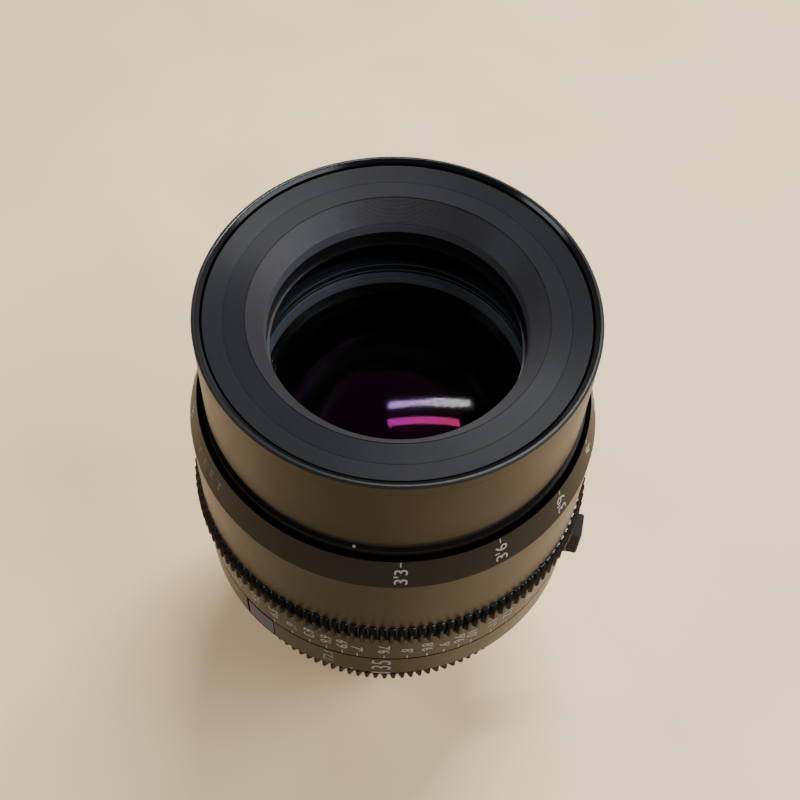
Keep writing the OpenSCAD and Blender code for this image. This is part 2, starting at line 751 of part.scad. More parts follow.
// Barrel that carries the cells and the iris and slides in the guide sleeve
module optical_barrel() {
    relief = 0.5;
    land = 5;
    web_bore_r = fourth_clear_r + 3;
    z0 = z_nut - optic_tail - 2;
    z1 = z_cell + optic_nose;
    slot_in_r = fork_in_r - 0.4;
    color("#3a3a3c") difference() {
        rotate_extrude() polygon([
            [optic_bore_r, z0], [optic_r, z0], [optic_r, z0 + land],
            [optic_r - relief, z0 + land], [optic_r - relief, z_nut - key_len / 2 - 1],
            [optic_r, z_nut - key_len / 2 - 1], [optic_r, z_nut + key_len / 2 + 1],
            [optic_r - relief, z_nut + key_len / 2 + 1], [optic_r - relief, z1 - land],
            [optic_r, z1 - land], [optic_r, z1], [optic_bore_r, z1], [optic_bore_r, z_cell],
            [web_bore_r, z_cell], [web_bore_r, z_optic_web], [optic_bore_r, z_optic_web]]);
        difference() {
            wedge_cut(z_optic_web - 1, z_cell + 1);
            translate([0, 0, z_optic_web - 2]) cylinder(r = slot_in_r, h = optic_web_t + 4);
            ring(optic_bore_r, 3 * optic_r, z_optic_web - 2, z_cell + 2);
        }
        key_blocks(0);
    }
}

// Cell with the three groups ahead of the iris
module front_cell() {
    third_bore_r = third_glass_r + fit_gap;
    lip_r = fourth_clear_r + 5;
    foot_r = front_cell_r - 1;
    hood_r = front_glass_r - 0.5;
    color("#19191b") rotate_extrude() polygon([
        [lip_r, z_cell], [foot_r, z_cell], [foot_r, z_cell + 3], [front_cell_r, z_cell + 5],
        [front_cell_r, z_cell_top - 1], [front_cell_r - 1, z_cell_top], [hood_r, z_cell_top],
        [hood_r, z_front_edge + retainer_h], [front_bore_glass_r, z_front_edge + retainer_h],
        [front_bore_glass_r, z_front_seat], [second_bore_r, z_front_seat],
        [second_bore_r, z_second_seat], [third_bore_r, z_second_seat],
        [third_bore_r, z_fourth_rim], [lip_r, z_fourth_rim]]);
}

// Tapered ring that holds the front element
module front_retainer() {
    color("#101012") rotate_extrude() polygon([
        [front_clear_r, z_front_edge], [front_glass_r, z_front_edge],
        [front_glass_r, z_front_edge + retainer_h], [front_clear_r + hood_flare, z_front_edge + retainer_h]]);
}

module front_element() {
    color("#1a2030") element(front_glass_r, z_front_back, -front_back, z_front_glass, front_curve,
        front_back_clear_r);
}

module second_element() {
    color("#1a2030") element(second_glass_r, z_second_back, -second_back, z_second, second_curve,
        second_clear_r);
}

module second_retainer() {
    seat_r = second_glass_r - 1.8;
    z_seat = z_second - sag(second_curve, seat_r);
    color("#101012") rotate_extrude() polygon([
        [seat_r, z_seat], [second_glass_r, z_seat], [second_glass_r, z_seat + 5], [seat_r, z_seat + 5]]);
}

module third_element() {
    color("#1a2030") element(third_glass_r, z_cement, 0, z_third, third_curve, 0);
}

module fourth_element() {
    color("#1a2030") element(third_glass_r, z_fourth, -fourth_curve, z_cement, 0, fourth_clear_r);
}

module doublet_retainer() {
    seat_r = third_glass_r - 1.5;
    z_seat = z_third - sag(third_curve, seat_r);
    color("#101012") ring(seat_r, third_glass_r, z_seat, z_seat + 2);
}

// Iris housing: the plate with the pivots and the wall that the cam ring turns in
module iris_housing() {
    plate_hole_r = iris_open_r + 0.4;
    color("#303033") difference() {
        union() {
            ring(plate_hole_r, iris_wall_r, z_plate, z_plate_top);
            ring(iris_bore_r, iris_wall_r, z_plate_top - eps, z_optic_web);
        }
        for (k = [0:blade_count - 1]) rotate(360 * k / blade_count) translate([pivot_r, 0, z_plate - 1])
            cylinder(d = pivot_d + 2 * pin_play, h = pivot_plate_t + 2);
        difference() {
            prong_cut(z_cam - layer_gap, z_optic_web + 1);
            translate([0, 0, z_plate]) cylinder(r = iris_bore_r - 1, h = 2 * pivot_plate_t + 20);
        }
    }
}

// The arc that the cam ring's prongs sweep
module prong_cut(z0, z1) {
    half = asin((fork_w / 2 + prong_w) / iris_bore_r) + arc_play / 2;
    wedge(fork_angle - half, fork_angle + iris_throw + half, 2 * iris_wall_r, z0, z1);
}

// Cell with the groups behind the iris
module rear_cell() {
    color("#19191b") rotate_extrude() polygon([
        [rear_bore_r, z_plate], [rear_flange_r, z_plate], [rear_flange_r, z_plate - rear_flange_t],
        [rear_cell_r, z_plate - rear_flange_t], [rear_cell_r, z_rear_cell + 2],
        [rear_cell_r - 1.5, z_rear_cell], [rear_bore_r, z_rear_cell], [rear_bore_r, z_seventh_seat],
        [rear_clear_r, z_seventh_seat], [rear_clear_r, z_sixth_rim], [rear_bore_r, z_sixth_rim]]);
}

module fifth_element() {
    color("#1a2030") element(rear_glass_r, z_fifth_back, fifth_back, z_fifth, fifth_curve, 0);
}

// The sixth element is cemented to the fifth, so its hollow face takes the fifth's curve
module sixth_element() {
    z_edge = z_fifth_back + sag(fifth_back, rear_glass_r);
    color("#1a2030") rotate_extrude() difference() {
        translate([0, z_sixth_rim]) square([rear_glass_r, z_edge - z_sixth_rim]);
        translate([0, z_fifth_back + fifth_back]) circle(r = fifth_back, $fn = profile_fn);
        translate([0, z_sixth_back - sixth_back]) circle(r = sixth_back, $fn = profile_fn);
    }
}

module inner_retainer() {
    seat_r = rear_glass_r - 1.9;
    z_seat = z_fifth - sag(fifth_curve, seat_r);
    color("#101012") ring(seat_r, rear_glass_r, z_seat, z_seat + inner_retainer_h);
}

module seventh_element() {
    color("#1a2030") element(rear_glass_r, z_seventh_back, 0, z_seventh, seventh_curve, 0);
}

module element_spacer() {
    color("goldenrod") ring(rear_clear_r, rear_glass_r, z_eighth_rim, z_seventh_back);
}

module eighth_element() {
    color("#1a2030") element(rear_glass_r, z_eighth_back, eighth_back, z_eighth, -eighth_front, rear_clear_r);
}

module rear_retainer() {
    color("#101012") ring(rear_clear_r, rear_glass_r, z_rear_cell, z_rear_seat);
}

// Iris ring: a core that turns on the housing tube, with a tapered shoulder behind the gear
module iris_ring() {
    edge = 0.4;
    color("#262321") difference() {
        rotate_extrude() polygon([
            [iris_ring_bore_r, z_iris], [iris_tail_r, z_iris], [iris_shoulder_r, z_iris_gear - edge],
            [iris_shoulder_r, z_iris_gear], [iris_core_r, z_iris_gear], [iris_core_r, z_iris_top],
            [iris_ring_bore_r, z_iris_top]]);
        curved_bar(iris_ring_bore_r - 1, iris_ring_bore_r + fork_seat + fit_gap,
            z_fork_leg - fit_gap, z_fork_leg + fork_leg_h + fit_gap, fork_w + 2 * fit_gap, fork_angle);
    }
}

module iris_gear() {
    color("#161514") gear(iris_teeth, iris_core_r, z_iris_gear, z_iris_front);
}

// Ring with the scale of stops, which holds the gear against the shoulder
module iris_scale_ring() {
    color("#262321") ring(iris_core_r, iris_ring_r, z_iris_front, z_iris_top);
}

// Bar from the iris ring to the cam ring, long enough for the whole focus travel
module iris_fork() {
    color("dimgray") {
        curved_bar(fork_in_r, fork_r, z_fork_leg, z_fork_top, fork_w, fork_angle);
        curved_bar(fork_r - eps, iris_ring_bore_r + fork_seat, z_fork_leg, z_fork_leg + fork_leg_h,
            fork_w, fork_angle);
    }
}

// Place of a drive pin in the frame of the cam ring when the blade is closed by the share t
function drive_point(t) = let(
    a = drive_start + blade_turn * t,
    p = [pivot_r + drive_arm * cos(a), drive_arm * sin(a)],
    turn = -iris_throw * t)
    [p[0] * cos(turn) - p[1] * sin(turn), p[0] * sin(turn) + p[1] * cos(turn)];

// Direction across the slot at that place
function across(t) = let(d = drive_point(t + 0.001) - drive_point(t - 0.001)) [-d[1], d[0]] / norm(d);

// Cam ring with one spiral slot for each blade and two prongs for the bar
module iris_cam() {
    slot_steps = 32;
    slot_over = 0.015;
    slot_t = [for (i = [0:slot_steps]) (1 + 2 * slot_over) * i / slot_steps - slot_over];
    slot = concat([for (t = slot_t) drive_point(t) + slot_half * across(t)],
        [for (i = [slot_steps:-1:0]) drive_point(slot_t[i]) - slot_half * across(slot_t[i])]);
    prong_play = 0.1;
    color("#4a4a4d") difference() {
        union() {
            ring(cam_bore_r, cam_r, z_cam, z_cam + cam_t);
            curved_bar(cam_r - 1.2, fork_r, z_cam, z_cam + cam_t, fork_w + 2 * prong_w, fork_angle);
        }
        curved_bar(fork_in_r - prong_play, fork_r + 1, z_cam - 1, z_cam + cam_t + 1,
            fork_w + 2 * prong_play, fork_angle);
        for (k = [0:blade_count - 1]) rotate(360 * k / blade_count) translate([0, 0, z_cam - 1])
            linear_extrude(cam_t + 2) {
                polygon(slot);
                translate(drive_point(-slot_over)) circle(r = slot_half);
                translate(drive_point(1 + slot_over)) circle(r = slot_half);
            }
    }
}

// One blade: a crescent, the arm to its drive pin and the two pins, each blade on its own layer
module iris_blade(number) {
    layer = number - 1;
    z = z_blades + layer * blade_pitch;
    boss_r = 2.2;
    tip_angle = 116;
    mid_r = (blade_in_r + blade_out_r) / 2;
    pin = [pivot_r + drive_arm * cos(drive_start), drive_arm * sin(drive_start)];
    pin_boss_r = 1.4;
    along = pin_boss_r * (pin - [pivot_r, 0]) / drive_arm;
    side = [-along[1], along[0]];
    neck = [[pivot_r, -boss_r], polar(mid_r, 1), polar(mid_r, 24), polar(blade_out_r - 0.2, 20),
            [pivot_r + 0.8, boss_r]];
    color("#3d3f45") rotate(360 * layer / blade_count) {
        translate([0, 0, z]) linear_extrude(blade_t) {
            intersection() {
                difference() {
                    circle(r = blade_out_r);
                    circle(r = blade_in_r);
                }
                polygon(concat([[0, 0]], [for (a = [1:23:tip_angle]) polar(2 * blade_out_r, a)]));
            }
            translate(polar(mid_r, tip_angle)) circle(r = blade_w / 2);
            polygon(neck);
            translate([pivot_r, 0]) circle(r = boss_r);
            polygon([[pivot_r, 0] + side, pin + side, pin - side, [pivot_r, 0] - side]);
            translate(pin) circle(r = pin_boss_r);
        }
        translate([pivot_r, 0, z_plate]) cylinder(d = pivot_d, h = z - z_plate + blade_t);
        translate([pin[0], pin[1], z]) cylinder(d = drive_d, h = z_cam + cam_t - z);
    }
}

lens_mount();
mount_shim();
mount_screws();
rear_baffle();
rear_housing();
middle_barrel();
support_foot();
focus_stop();
guide_sleeve();
sleeve_screws();
front_bearing();
front_barrel();
front_baffle();
front_plate();
front_rim();
focus_ring();
focus_gear();
rear_scale_ring();
front_scale_ring();
focus_nut();
focus_keys();
optical_barrel();
front_cell();
front_retainer();
front_element();
second_element();
second_retainer();
third_element();
fourth_element();
doublet_retainer();
iris_housing();
rear_cell();
fifth_element();
sixth_element();
inner_retainer();
seventh_element();
element_spacer();
eighth_element();
rear_retainer();
iris_ring();
iris_gear();
iris_scale_ring();
iris_fork();
iris_cam();
iris_blade(1);  // iris_blade_1
iris_blade(2);  // iris_blade_2
iris_blade(3);  // iris_blade_3
iris_blade(4);  // iris_blade_4
iris_blade(5);  // iris_blade_5
iris_blade(6);  // iris_blade_6
iris_blade(7);  // iris_blade_7
iris_blade(8);  // iris_blade_8
iris_blade(9);  // iris_blade_9
iris_blade(10);  // iris_blade_10
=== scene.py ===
# %% [markdown]
# A cinema prime lens stands on its mount, seen from above its front glass. The solids of the
# lens come packed as a frame: every node is already in place, in metres, with the flange seat
# at the origin and the optical axis along +Z. This lesson dresses that frame: turned pieces are
# spun again with fine edges, the scales are printed, and every finish is made of nodes.

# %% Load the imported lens
import math

import bmesh
import bpy
from mathutils import Matrix, Vector


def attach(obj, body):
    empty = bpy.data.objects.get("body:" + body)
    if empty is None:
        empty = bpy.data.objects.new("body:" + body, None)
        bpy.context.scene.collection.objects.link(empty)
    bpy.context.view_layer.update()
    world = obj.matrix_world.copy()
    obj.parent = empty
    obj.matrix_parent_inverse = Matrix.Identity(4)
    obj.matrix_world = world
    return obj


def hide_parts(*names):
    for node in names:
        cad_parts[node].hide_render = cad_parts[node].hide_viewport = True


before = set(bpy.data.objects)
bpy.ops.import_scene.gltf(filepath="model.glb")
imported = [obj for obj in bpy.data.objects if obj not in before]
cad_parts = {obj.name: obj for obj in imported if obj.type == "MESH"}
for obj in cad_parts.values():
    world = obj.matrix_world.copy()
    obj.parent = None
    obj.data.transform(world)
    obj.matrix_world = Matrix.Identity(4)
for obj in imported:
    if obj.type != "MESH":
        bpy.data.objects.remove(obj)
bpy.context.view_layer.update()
MM = 0.001

# %% [markdown]
# The sizes below are those of the solids, in millimetres. Each one is named once and used by
# every piece that touches it, so a ring, its scale and its index stay together.

# %% Sizes of the lens
FRONT_R = 47.5
FRONT_Z = 115.7
RIM_SEAT_Z = 139.4
RIM_Z = 142.5
BARREL_R = 52.0
SKIRT_R = 50.6
SCALE_Z = 102.3
SCALE_TOP_R = 49.5
SCALE_TOP_Z = 111.4
GRIP_Z = 77.3
TEETH_Z = 69.7
GEAR_Z = 66.5
RING_Z = 56.5
BAND_TOP_Z = 56.2
WEB_Z = 52.0
BAND_Z = 46.0
IRIS_TOP_Z = 45.7
IRIS_FRONT_Z = 35.5
IRIS_GEAR_Z = 29.6
IRIS_Z = 24.0
IRIS_R = 46.3
IRIS_CORE_R = 44.9
IRIS_BORE_R = 43.0
FLOOR_Z = -20.0
FULL_TURN = 2 * math.pi
print("front rim at", RIM_Z, "mm, stands on", FLOOR_Z, "mm")

# %% [markdown]
# The camera of the photograph was solved from the rings of the lens: ellipses of known
# diameter and the pitch of the gear teeth give the focal length, the place and the tilt. The
# three directions below are the camera's own right, up and forward in the frame of the lens.

# %% Camera at the photograph's angle
CAMERA_PLACE = Vector((0.0, -0.17099, 0.36783))
CAMERA_RIGHT = Vector((0.99873919, 0.0392306, 0.03132084))
CAMERA_UP = Vector((-0.04994687, 0.83913789, 0.54162063))
CAMERA_FORWARD = Vector((0.0050344, 0.54250213, -0.84003934))
CAMERA_LENS = 55.23
SENSOR_WIDTH = 36.0
NEAR_CLIP = 0.01


def linked(name, data):
    thing = bpy.data.objects.new(name, data)
    bpy.context.scene.collection.objects.link(thing)
    return thing


camera_data = bpy.data.cameras.new("photo_camera")
camera_data.lens = CAMERA_LENS
camera_data.sensor_width = SENSOR_WIDTH
camera_data.clip_start = NEAR_CLIP
camera = linked("photo_camera", camera_data)
camera_axes = Matrix((CAMERA_RIGHT, CAMERA_UP, -CAMERA_FORWARD)).transposed()
camera.matrix_world = Matrix.Translation(CAMERA_PLACE) @ camera_axes.to_4x4()
bpy.context.scene.camera = camera
print("camera to rim", round((CAMERA_PLACE - Vector((0, 0, RIM_Z * MM))).length, 3), "m")

# %% [markdown]
# A finish is a small tree of nodes. The helpers below start a tree, join its nodes, mix two
# colours by a pattern and add a bump, always in Object coordinates, so the grain has a real size
# on the metal. Turned parts get a second pattern: it reads the distance from the optical axis and
# the height, and a noise over both draws the fine rings that a lathe tool leaves.

# %% Helpers for finishes
RING_DETAIL = 2.0


def join(start, out, end, into):
    start.id_data.links.new(start.outputs[out], end.inputs[into])


def new_finish(name):
    material = bpy.data.materials.new(name)
    material.use_nodes = True
    nodes = material.node_tree.nodes
    return material, nodes, nodes["Principled BSDF"], nodes.new("ShaderNodeTexCoord")


def grain(nodes, place, size_mm, detail=3.0, out="Object"):
    noise = nodes.new("ShaderNodeTexNoise")
    noise.inputs["Scale"].default_value = 1.0 / (size_mm * MM)
    noise.inputs["Detail"].default_value = detail
    join(place, out, noise, "Vector")
    return noise


def turned_rings(nodes, place, size_mm):
    split = nodes.new("ShaderNodeSeparateXYZ")
    flat = nodes.new("ShaderNodeCombineXYZ")
    reach = nodes.new("ShaderNodeVectorMath")
    reach.operation = "LENGTH"
    ring = nodes.new("ShaderNodeCombineXYZ")
    join(place, "Object", split, 0)
    join(split, "X", flat, "X")
    join(split, "Y", flat, "Y")
    join(flat, 0, reach, 0)
    join(reach, "Value", ring, "X")
    join(split, "Z", ring, "Y")
    return grain(nodes, ring, size_mm, RING_DETAIL, 0)


def colour_by(nodes, pattern, shader, dark, light, low=0.35, high=0.65):
    ramp = nodes.new("ShaderNodeValToRGB")
    ramp.color_ramp.elements[0].position = low
    ramp.color_ramp.elements[0].color = (*dark, 1.0)
    ramp.color_ramp.elements[1].position = high
    ramp.color_ramp.elements[1].color = (*light, 1.0)
    join(pattern, "Fac", ramp, "Fac")
    join(ramp, "Color", shader, "Base Color")


def rough_by(nodes, pattern, shader, low, high):
    span = nodes.new("ShaderNodeMapRange")
    span.inputs["To Min"].default_value = low
    span.inputs["To Max"].default_value = high
    join(pattern, "Fac", span, "Value")
    join(span, "Result", shader, "Roughness")


def bump_by(nodes, pattern, shader, strength, depth_mm=0.01):
    bump = nodes.new("ShaderNodeBump")
    bump.inputs["Strength"].default_value = strength
    bump.inputs["Distance"].default_value = depth_mm * MM
    join(pattern, "Fac", bump, "Height")
    join(bump, "Normal", shader, "Normal")


# %% [markdown]
# The outside is aluminium, bead-blasted and anodised black. It looks warm because it mirrors a
# warm table at a shallow angle. The trace of brown in the black and the warm tint of its mirror
# are a painted reflection of that table, on a satin roughness that lets the floor show as a soft
# sheen. Recesses get a dead black that mirrors nothing, a painted shade, so that gaps between
# the rings read as gaps. Each finish names a dark and a light colour, the two ends of its
# roughness and how strongly it mirrors.

# %% Anodised metal finishes
PLAIN_SHEEN = (1.0, 1.0, 1.0)
PAINTED_WARM_REFLECTION = (1.0, 0.76, 0.52)
SPECKLE_MM = 0.22
SPECKLE_BUMP = 0.25
CLOUD_MM = 14.0
CLOUD_DETAIL = 2.0


def anodised(name, dark, light, rough_low, rough_high, specular, sheen=PLAIN_SHEEN):
    material, nodes, shader, place = new_finish(name)
    speckle = grain(nodes, place, SPECKLE_MM)
    cloud = grain(nodes, place, CLOUD_MM, CLOUD_DETAIL)
    colour_by(nodes, speckle, shader, dark, light)
    rough_by(nodes, cloud, shader, rough_low, rough_high)
    bump_by(nodes, speckle, shader, SPECKLE_BUMP)
    shader.inputs["Specular IOR Level"].default_value = specular
    shader.inputs["Specular Tint"].default_value = (*sheen, 1.0)
    return material


# The brown in this black and its warm mirror tint are a painted reflection of the warm table.
barrel_black_painted_warm = anodised("barrel_black_painted_warm", (0.004, 0.0025, 0.0012), (0.007, 0.0045, 0.002), 0.30, 0.38, 0.135,
                        PAINTED_WARM_REFLECTION)
scale_black = anodised("scale_black", (0.005, 0.004, 0.003), (0.008, 0.006, 0.005), 0.40, 0.48, 0.11)
gear_black = anodised("gear_black", (0.003, 0.003, 0.003), (0.006, 0.005, 0.005), 0.36, 0.44, 0.07)
# The lighter black for the front faces of the focus teeth is a painted highlight.
tooth_face_highlight = anodised("tooth_face_highlight", (0.006, 0.006, 0.006), (0.010, 0.010, 0.010), 0.24, 0.30, 0.55)
rear_black = anodised("rear_black", (0.006, 0.005, 0.004), (0.011, 0.009, 0.007), 0.30, 0.40, 0.30)
foot_black = anodised("foot_black", (0.003, 0.003, 0.003), (0.006, 0.006, 0.005), 0.36, 0.46, 0.05)
# The iris teeth get a darker black than the focus gear: painted shade under the band.
iris_teeth_painted_shade = anodised("iris_teeth_painted_shade", (0.0015, 0.0015, 0.0015), (0.003, 0.003, 0.003), 0.40, 0.50, 0.06)
# The collar's black is lighter and warmer than the barrel's: painted light on a part in shade.
collar_painted_sheen = anodised("collar_painted_sheen", (0.016, 0.014, 0.012), (0.024, 0.021, 0.018), 0.40, 0.50, 0.15)
# A dead black that mirrors nothing: painted shade for gaps, recesses and parts that sit in them.
painted_gap_shade = anodised("painted_gap_shade", (0.0005, 0.0005, 0.0005), (0.001, 0.001, 0.001), 0.60, 0.70, 0.0)
print("anodised finishes", barrel_black_painted_warm.name, scale_black.name, painted_gap_shade.name)

# %% [markdown]
# The front plate and the baffle are matt grey-black paint on turned rings. A fine ring noise
# gives the faint grooves. Grooves that run round the axis spread a reflection across them, so
# the rings are lighter towards the lamp and away from it, and darker at both sides.

# %% Matt finishes of the front
QUARTER_TURN = 0.25
PAINT_GRAIN_MM = 0.25


def matt_turned(name, dark, light, rough_low, rough_high, ring_mm, specular=0.5, streak=0.0, bump=0.2):
    material, nodes, shader, place = new_finish(name)
    rings = turned_rings(nodes, place, ring_mm)
    speckle = grain(nodes, place, PAINT_GRAIN_MM)
    colour_by(nodes, speckle, shader, dark, light)
    rough_by(nodes, rings, shader, rough_low, rough_high)
    bump_by(nodes, rings, shader, bump)
    grooves = nodes.new("ShaderNodeTangent")
    grooves.direction_type = "RADIAL"
    grooves.axis = "Z"
    join(grooves, "Tangent", shader, "Tangent")
    shader.inputs["Anisotropic"].default_value = streak
    shader.inputs["Anisotropic Rotation"].default_value = QUARTER_TURN
    shader.inputs["Specular IOR Level"].default_value = specular
    return material


plate_grey = matt_turned("plate_grey", (0.008, 0.008, 0.0095), (0.0125, 0.0125, 0.0145),
                         0.42, 0.50, ring_mm=0.3, specular=0.10, streak=0.97)
baffle_grey = matt_turned("baffle_grey", (0.010, 0.0095, 0.0115), (0.015, 0.014, 0.017),
                          0.40, 0.50, ring_mm=0.25, specular=0.25, streak=0.9)
throat_black = matt_turned("throat_black", (0.002, 0.002, 0.003), (0.004, 0.004, 0.005),
                           0.35, 0.5, ring_mm=0.4, specular=0.3)
# The cell's bluish black and the ring's light blue-grey are a painted reflection of the room.
cell_black_painted_sheen = matt_turned("cell_black_painted_sheen", (0.005, 0.007, 0.009), (0.010, 0.013, 0.016),
                         0.20, 0.30, ring_mm=0.4, specular=0.3)
retainer_painted_sheen = matt_turned("retainer_painted_sheen", (0.040, 0.045, 0.052), (0.056, 0.063, 0.072),
                            0.22, 0.32, ring_mm=0.4)
inner_black = matt_turned("inner_black", (0.001, 0.001, 0.001), (0.002, 0.002, 0.002),
                          0.5, 0.65, ring_mm=0.5, specular=0.05)
rim_gloss = matt_turned("rim_gloss", (0.002, 0.002, 0.002), (0.004, 0.004, 0.005),
                        0.12, 0.18, ring_mm=0.6, specular=0.12, bump=0.1)
rim_edge = matt_turned("rim_edge", (0.004, 0.004, 0.004), (0.007, 0.007, 0.008),
                       0.36, 0.42, ring_mm=0.6, specular=0.20, streak=0.6, bump=0.1)
lip_grey = matt_turned("lip_grey", (0.030, 0.029, 0.034), (0.042, 0.040, 0.047),
                       0.42, 0.54, ring_mm=0.25)
print("front finishes", plate_grey.name, baffle_grey.name, rim_gloss.name)

# %% [markdown]
# The mount is turned stainless steel, the shim and the helicoid nut are brass, and screws,
# keys and the iris parts are blackened steel. Metal takes its colour from the reflection, so
# the pattern goes into roughness and bump and only a little into the colour.

# %% Bare metal finishes
TOOL_BUMP = 0.3


def turned_metal(name, dark, light, rough_low, rough_high, ring_mm):
    material, nodes, shader, place = new_finish(name)
    rings = turned_rings(nodes, place, ring_mm)
    colour_by(nodes, rings, shader, dark, light)
    rough_by(nodes, rings, shader, rough_low, rough_high)
    bump_by(nodes, rings, shader, TOOL_BUMP)
    shader.inputs["Metallic"].default_value = 1.0
    return material


mount_steel = turned_metal("mount_steel", (0.50, 0.49, 0.47), (0.62, 0.61, 0.59), 0.2, 0.34, 0.2)
brass = turned_metal("brass", (0.62, 0.43, 0.16), (0.72, 0.52, 0.22), 0.22, 0.34, 0.25)
dark_steel = turned_metal("dark_steel", (0.06, 0.06, 0.06), (0.10, 0.10, 0.10), 0.25, 0.4, 0.3)
blade_steel = turned_metal("blade_steel", (0.012, 0.012, 0.013), (0.02, 0.02, 0.022), 0.4, 0.55, 0.5)
print("metal finishes", mount_steel.name, brass.name, dark_steel.name)

# %% [markdown]
# The elements are coated glass. A coating takes most of the reflection away and tints the
# rest: violet that turns grey on the front, magenta that turns red on the next element. On this
# shader the tint scales the mirror of the glass, so a dark tint is a good coating. A faint
# cloud in the roughness stands for dust. The front element is a little rougher than the others:
# its mirror image of the lamp is faint, and a smoother surface would render it with much noise.

# %% Coated glass
SHIFT_FROM = 0.0
SHIFT_TO = 16.0
GLASS_IOR = 1.52
DUST_MM = 2.0
DUST_DETAIL = 4.0
CLEAN = (0.0, 0.0004)
HAZED = (0.050, 0.062)


def coated_glass(name, tint, shifted, body, haze=CLEAN):
    material, nodes, shader, place = new_finish(name)
    dust = grain(nodes, place, DUST_MM, DUST_DETAIL)
    rough_by(nodes, dust, shader, *haze)
    split = nodes.new("ShaderNodeSeparateXYZ")
    span = nodes.new("ShaderNodeMapRange")
    span.inputs["From Min"].default_value = SHIFT_FROM * MM
    span.inputs["From Max"].default_value = SHIFT_TO * MM
    shift = nodes.new("ShaderNodeValToRGB")
    shift.color_ramp.elements[0].color = (*tint, 1.0)
    shift.color_ramp.elements[1].color = (*shifted, 1.0)
    join(place, "Object", split, 0)
    join(split, "X", span, "Value")
    join(span, "Result", shift, "Fac")
    join(shift, "Color", shader, "Specular Tint")
    shader.inputs["Base Color"].default_value = (*body, 1.0)
    shader.inputs["Transmission Weight"].default_value = 1.0
    shader.inputs["IOR"].default_value = GLASS_IOR
    return material


glass_front = coated_glass("glass_front", (0.024, 0.002, 0.050), (0.010, 0.010, 0.008), (0.93, 0.94, 0.96),
                           HAZED)
glass_second = coated_glass("glass_second", (0.85, 0.012, 0.60), (1.0, 0.012, 0.22), (0.93, 0.92, 0.95))
glass_inner = coated_glass("glass_inner", (0.008, 0.006, 0.005), (0.007, 0.006, 0.006), (0.92, 0.94, 0.93))
print("glass finishes", glass_front.name, glass_second.name, glass_inner.name)

# %% [markdown]
# Marks are engraved and filled with warm white paint, a little uneven at the edges. The bare
# plate on the band is slate, set in a recess whose dark is painted shade.

# %% Paint of the marks and the label
FLECK_MM = 0.2


def painted(name, dark, light, rough_low, rough_high, specular=0.5):
    material, nodes, shader, place = new_finish(name)
    fleck = grain(nodes, place, FLECK_MM)
    colour_by(nodes, fleck, shader, dark, light)
    rough_by(nodes, fleck, shader, rough_low, rough_high)
    shader.inputs["Specular IOR Level"].default_value = specular
    return material


paint_white = painted("paint_white", (0.20, 0.19, 0.18), (0.27, 0.26, 0.25), 0.5, 0.7)
# A greyer white for the focal length and the widest stop; it is only darker than the other marks.
paint_greyer = painted("paint_greyer", (0.14, 0.135, 0.13), (0.19, 0.185, 0.175), 0.5, 0.7)
paint_faint = painted("paint_faint", (0.07, 0.066, 0.062), (0.10, 0.095, 0.09), 0.5, 0.7)
label_slate = painted("label_slate", (0.060, 0.052, 0.090), (0.076, 0.066, 0.112), 0.45, 0.55, 0.1)
print("mark finishes", paint_white.name, paint_faint.name, label_slate.name)

# %% [markdown]
# Turned pieces are spun from a half section. Each corner of the section first gets a small
# round, as a lathe tool breaks every edge, because an edge that catches light is what makes
# metal look real. A corner may name its own radius. A point close to each end of the round keeps
# the wall beside it flat in the shading. The spin closes on itself, so there is no seam.

# %% Helper that rounds a section and spins it
SPIN_STEPS = 256
SUPPORT = 1.25
WALL_SHARE = 0.38
NEARLY_STRAIGHT = math.radians(165)
ON_AXIS_R = 1e-6
COMMON_SLOT = "black_anodised"


def rounded(section, radius, steps=3):
    out = []
    for i, corner in enumerate(section):
        here = Vector(corner[:2])
        back = Vector(section[i - 1][:2]) - here
        ahead = Vector(section[(i + 1) % len(section)][:2]) - here
        own = corner[2] if len(corner) > 2 else radius
        reach = min(own, WALL_SHARE * back.length, WALL_SHARE * ahead.length)
        if back.angle(ahead, math.pi) > NEARLY_STRAIGHT:
            out.append(tuple(here))
            continue
        start = here + back.normalized() * reach
        end = here + ahead.normalized() * reach
        out.append(tuple(here + (start - here) * SUPPORT))
        for k in range(steps + 1):
            t = k / steps
            point = start * (1 - t) ** 2 + here * (2 * t * (1 - t)) + end * t ** 2
            out.append(tuple(point))
        out.append(tuple(here + (end - here) * SUPPORT))
    return out


def in_scene(name, build, *finishes):
    mesh = bpy.data.meshes.new(name)
    build.to_mesh(mesh)
    build.free()
    for finish in finishes:
        mesh.materials.append(finish)
    return linked(name, mesh)


def ring_point(r_mm, angle, z_mm):
    return r_mm * MM * math.cos(angle), r_mm * MM * math.sin(angle), z_mm * MM


def spun(name, section, *finishes, smooth_deg=32.0, spin_steps=SPIN_STEPS):
    build = bmesh.new()
    on_axis = [r < ON_AXIS_R for r, z in section]
    rows = []
    for i in range(spin_steps):
        a = FULL_TURN * i / spin_steps
        row = []
        for k, (r, z) in enumerate(section):
            if on_axis[k] and i > 0:
                row.append(rows[0][k])
            else:
                row.append(build.verts.new(ring_point(r, a, z)))
        rows.append(row)
    for i in range(spin_steps):
        here, after = rows[i], rows[(i + 1) % spin_steps]
        for k in range(len(section)):
            n = (k + 1) % len(section)
            if not (on_axis[k] and on_axis[n]):
                build.faces.new(list(dict.fromkeys([here[k], after[k], after[n], here[n]])))
    bmesh.ops.recalc_face_normals(build, faces=build.faces)
    for face in build.faces:
        face.smooth = True
    piece = in_scene(name, build, *finishes)
    piece.data.set_sharp_from_angle(angle=math.radians(smooth_deg))
    return piece


def seat(piece, body, *nodes_replaced, slot=COMMON_SLOT):
    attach(piece, body)
    if nodes_replaced:
        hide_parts(*nodes_replaced)
    return piece


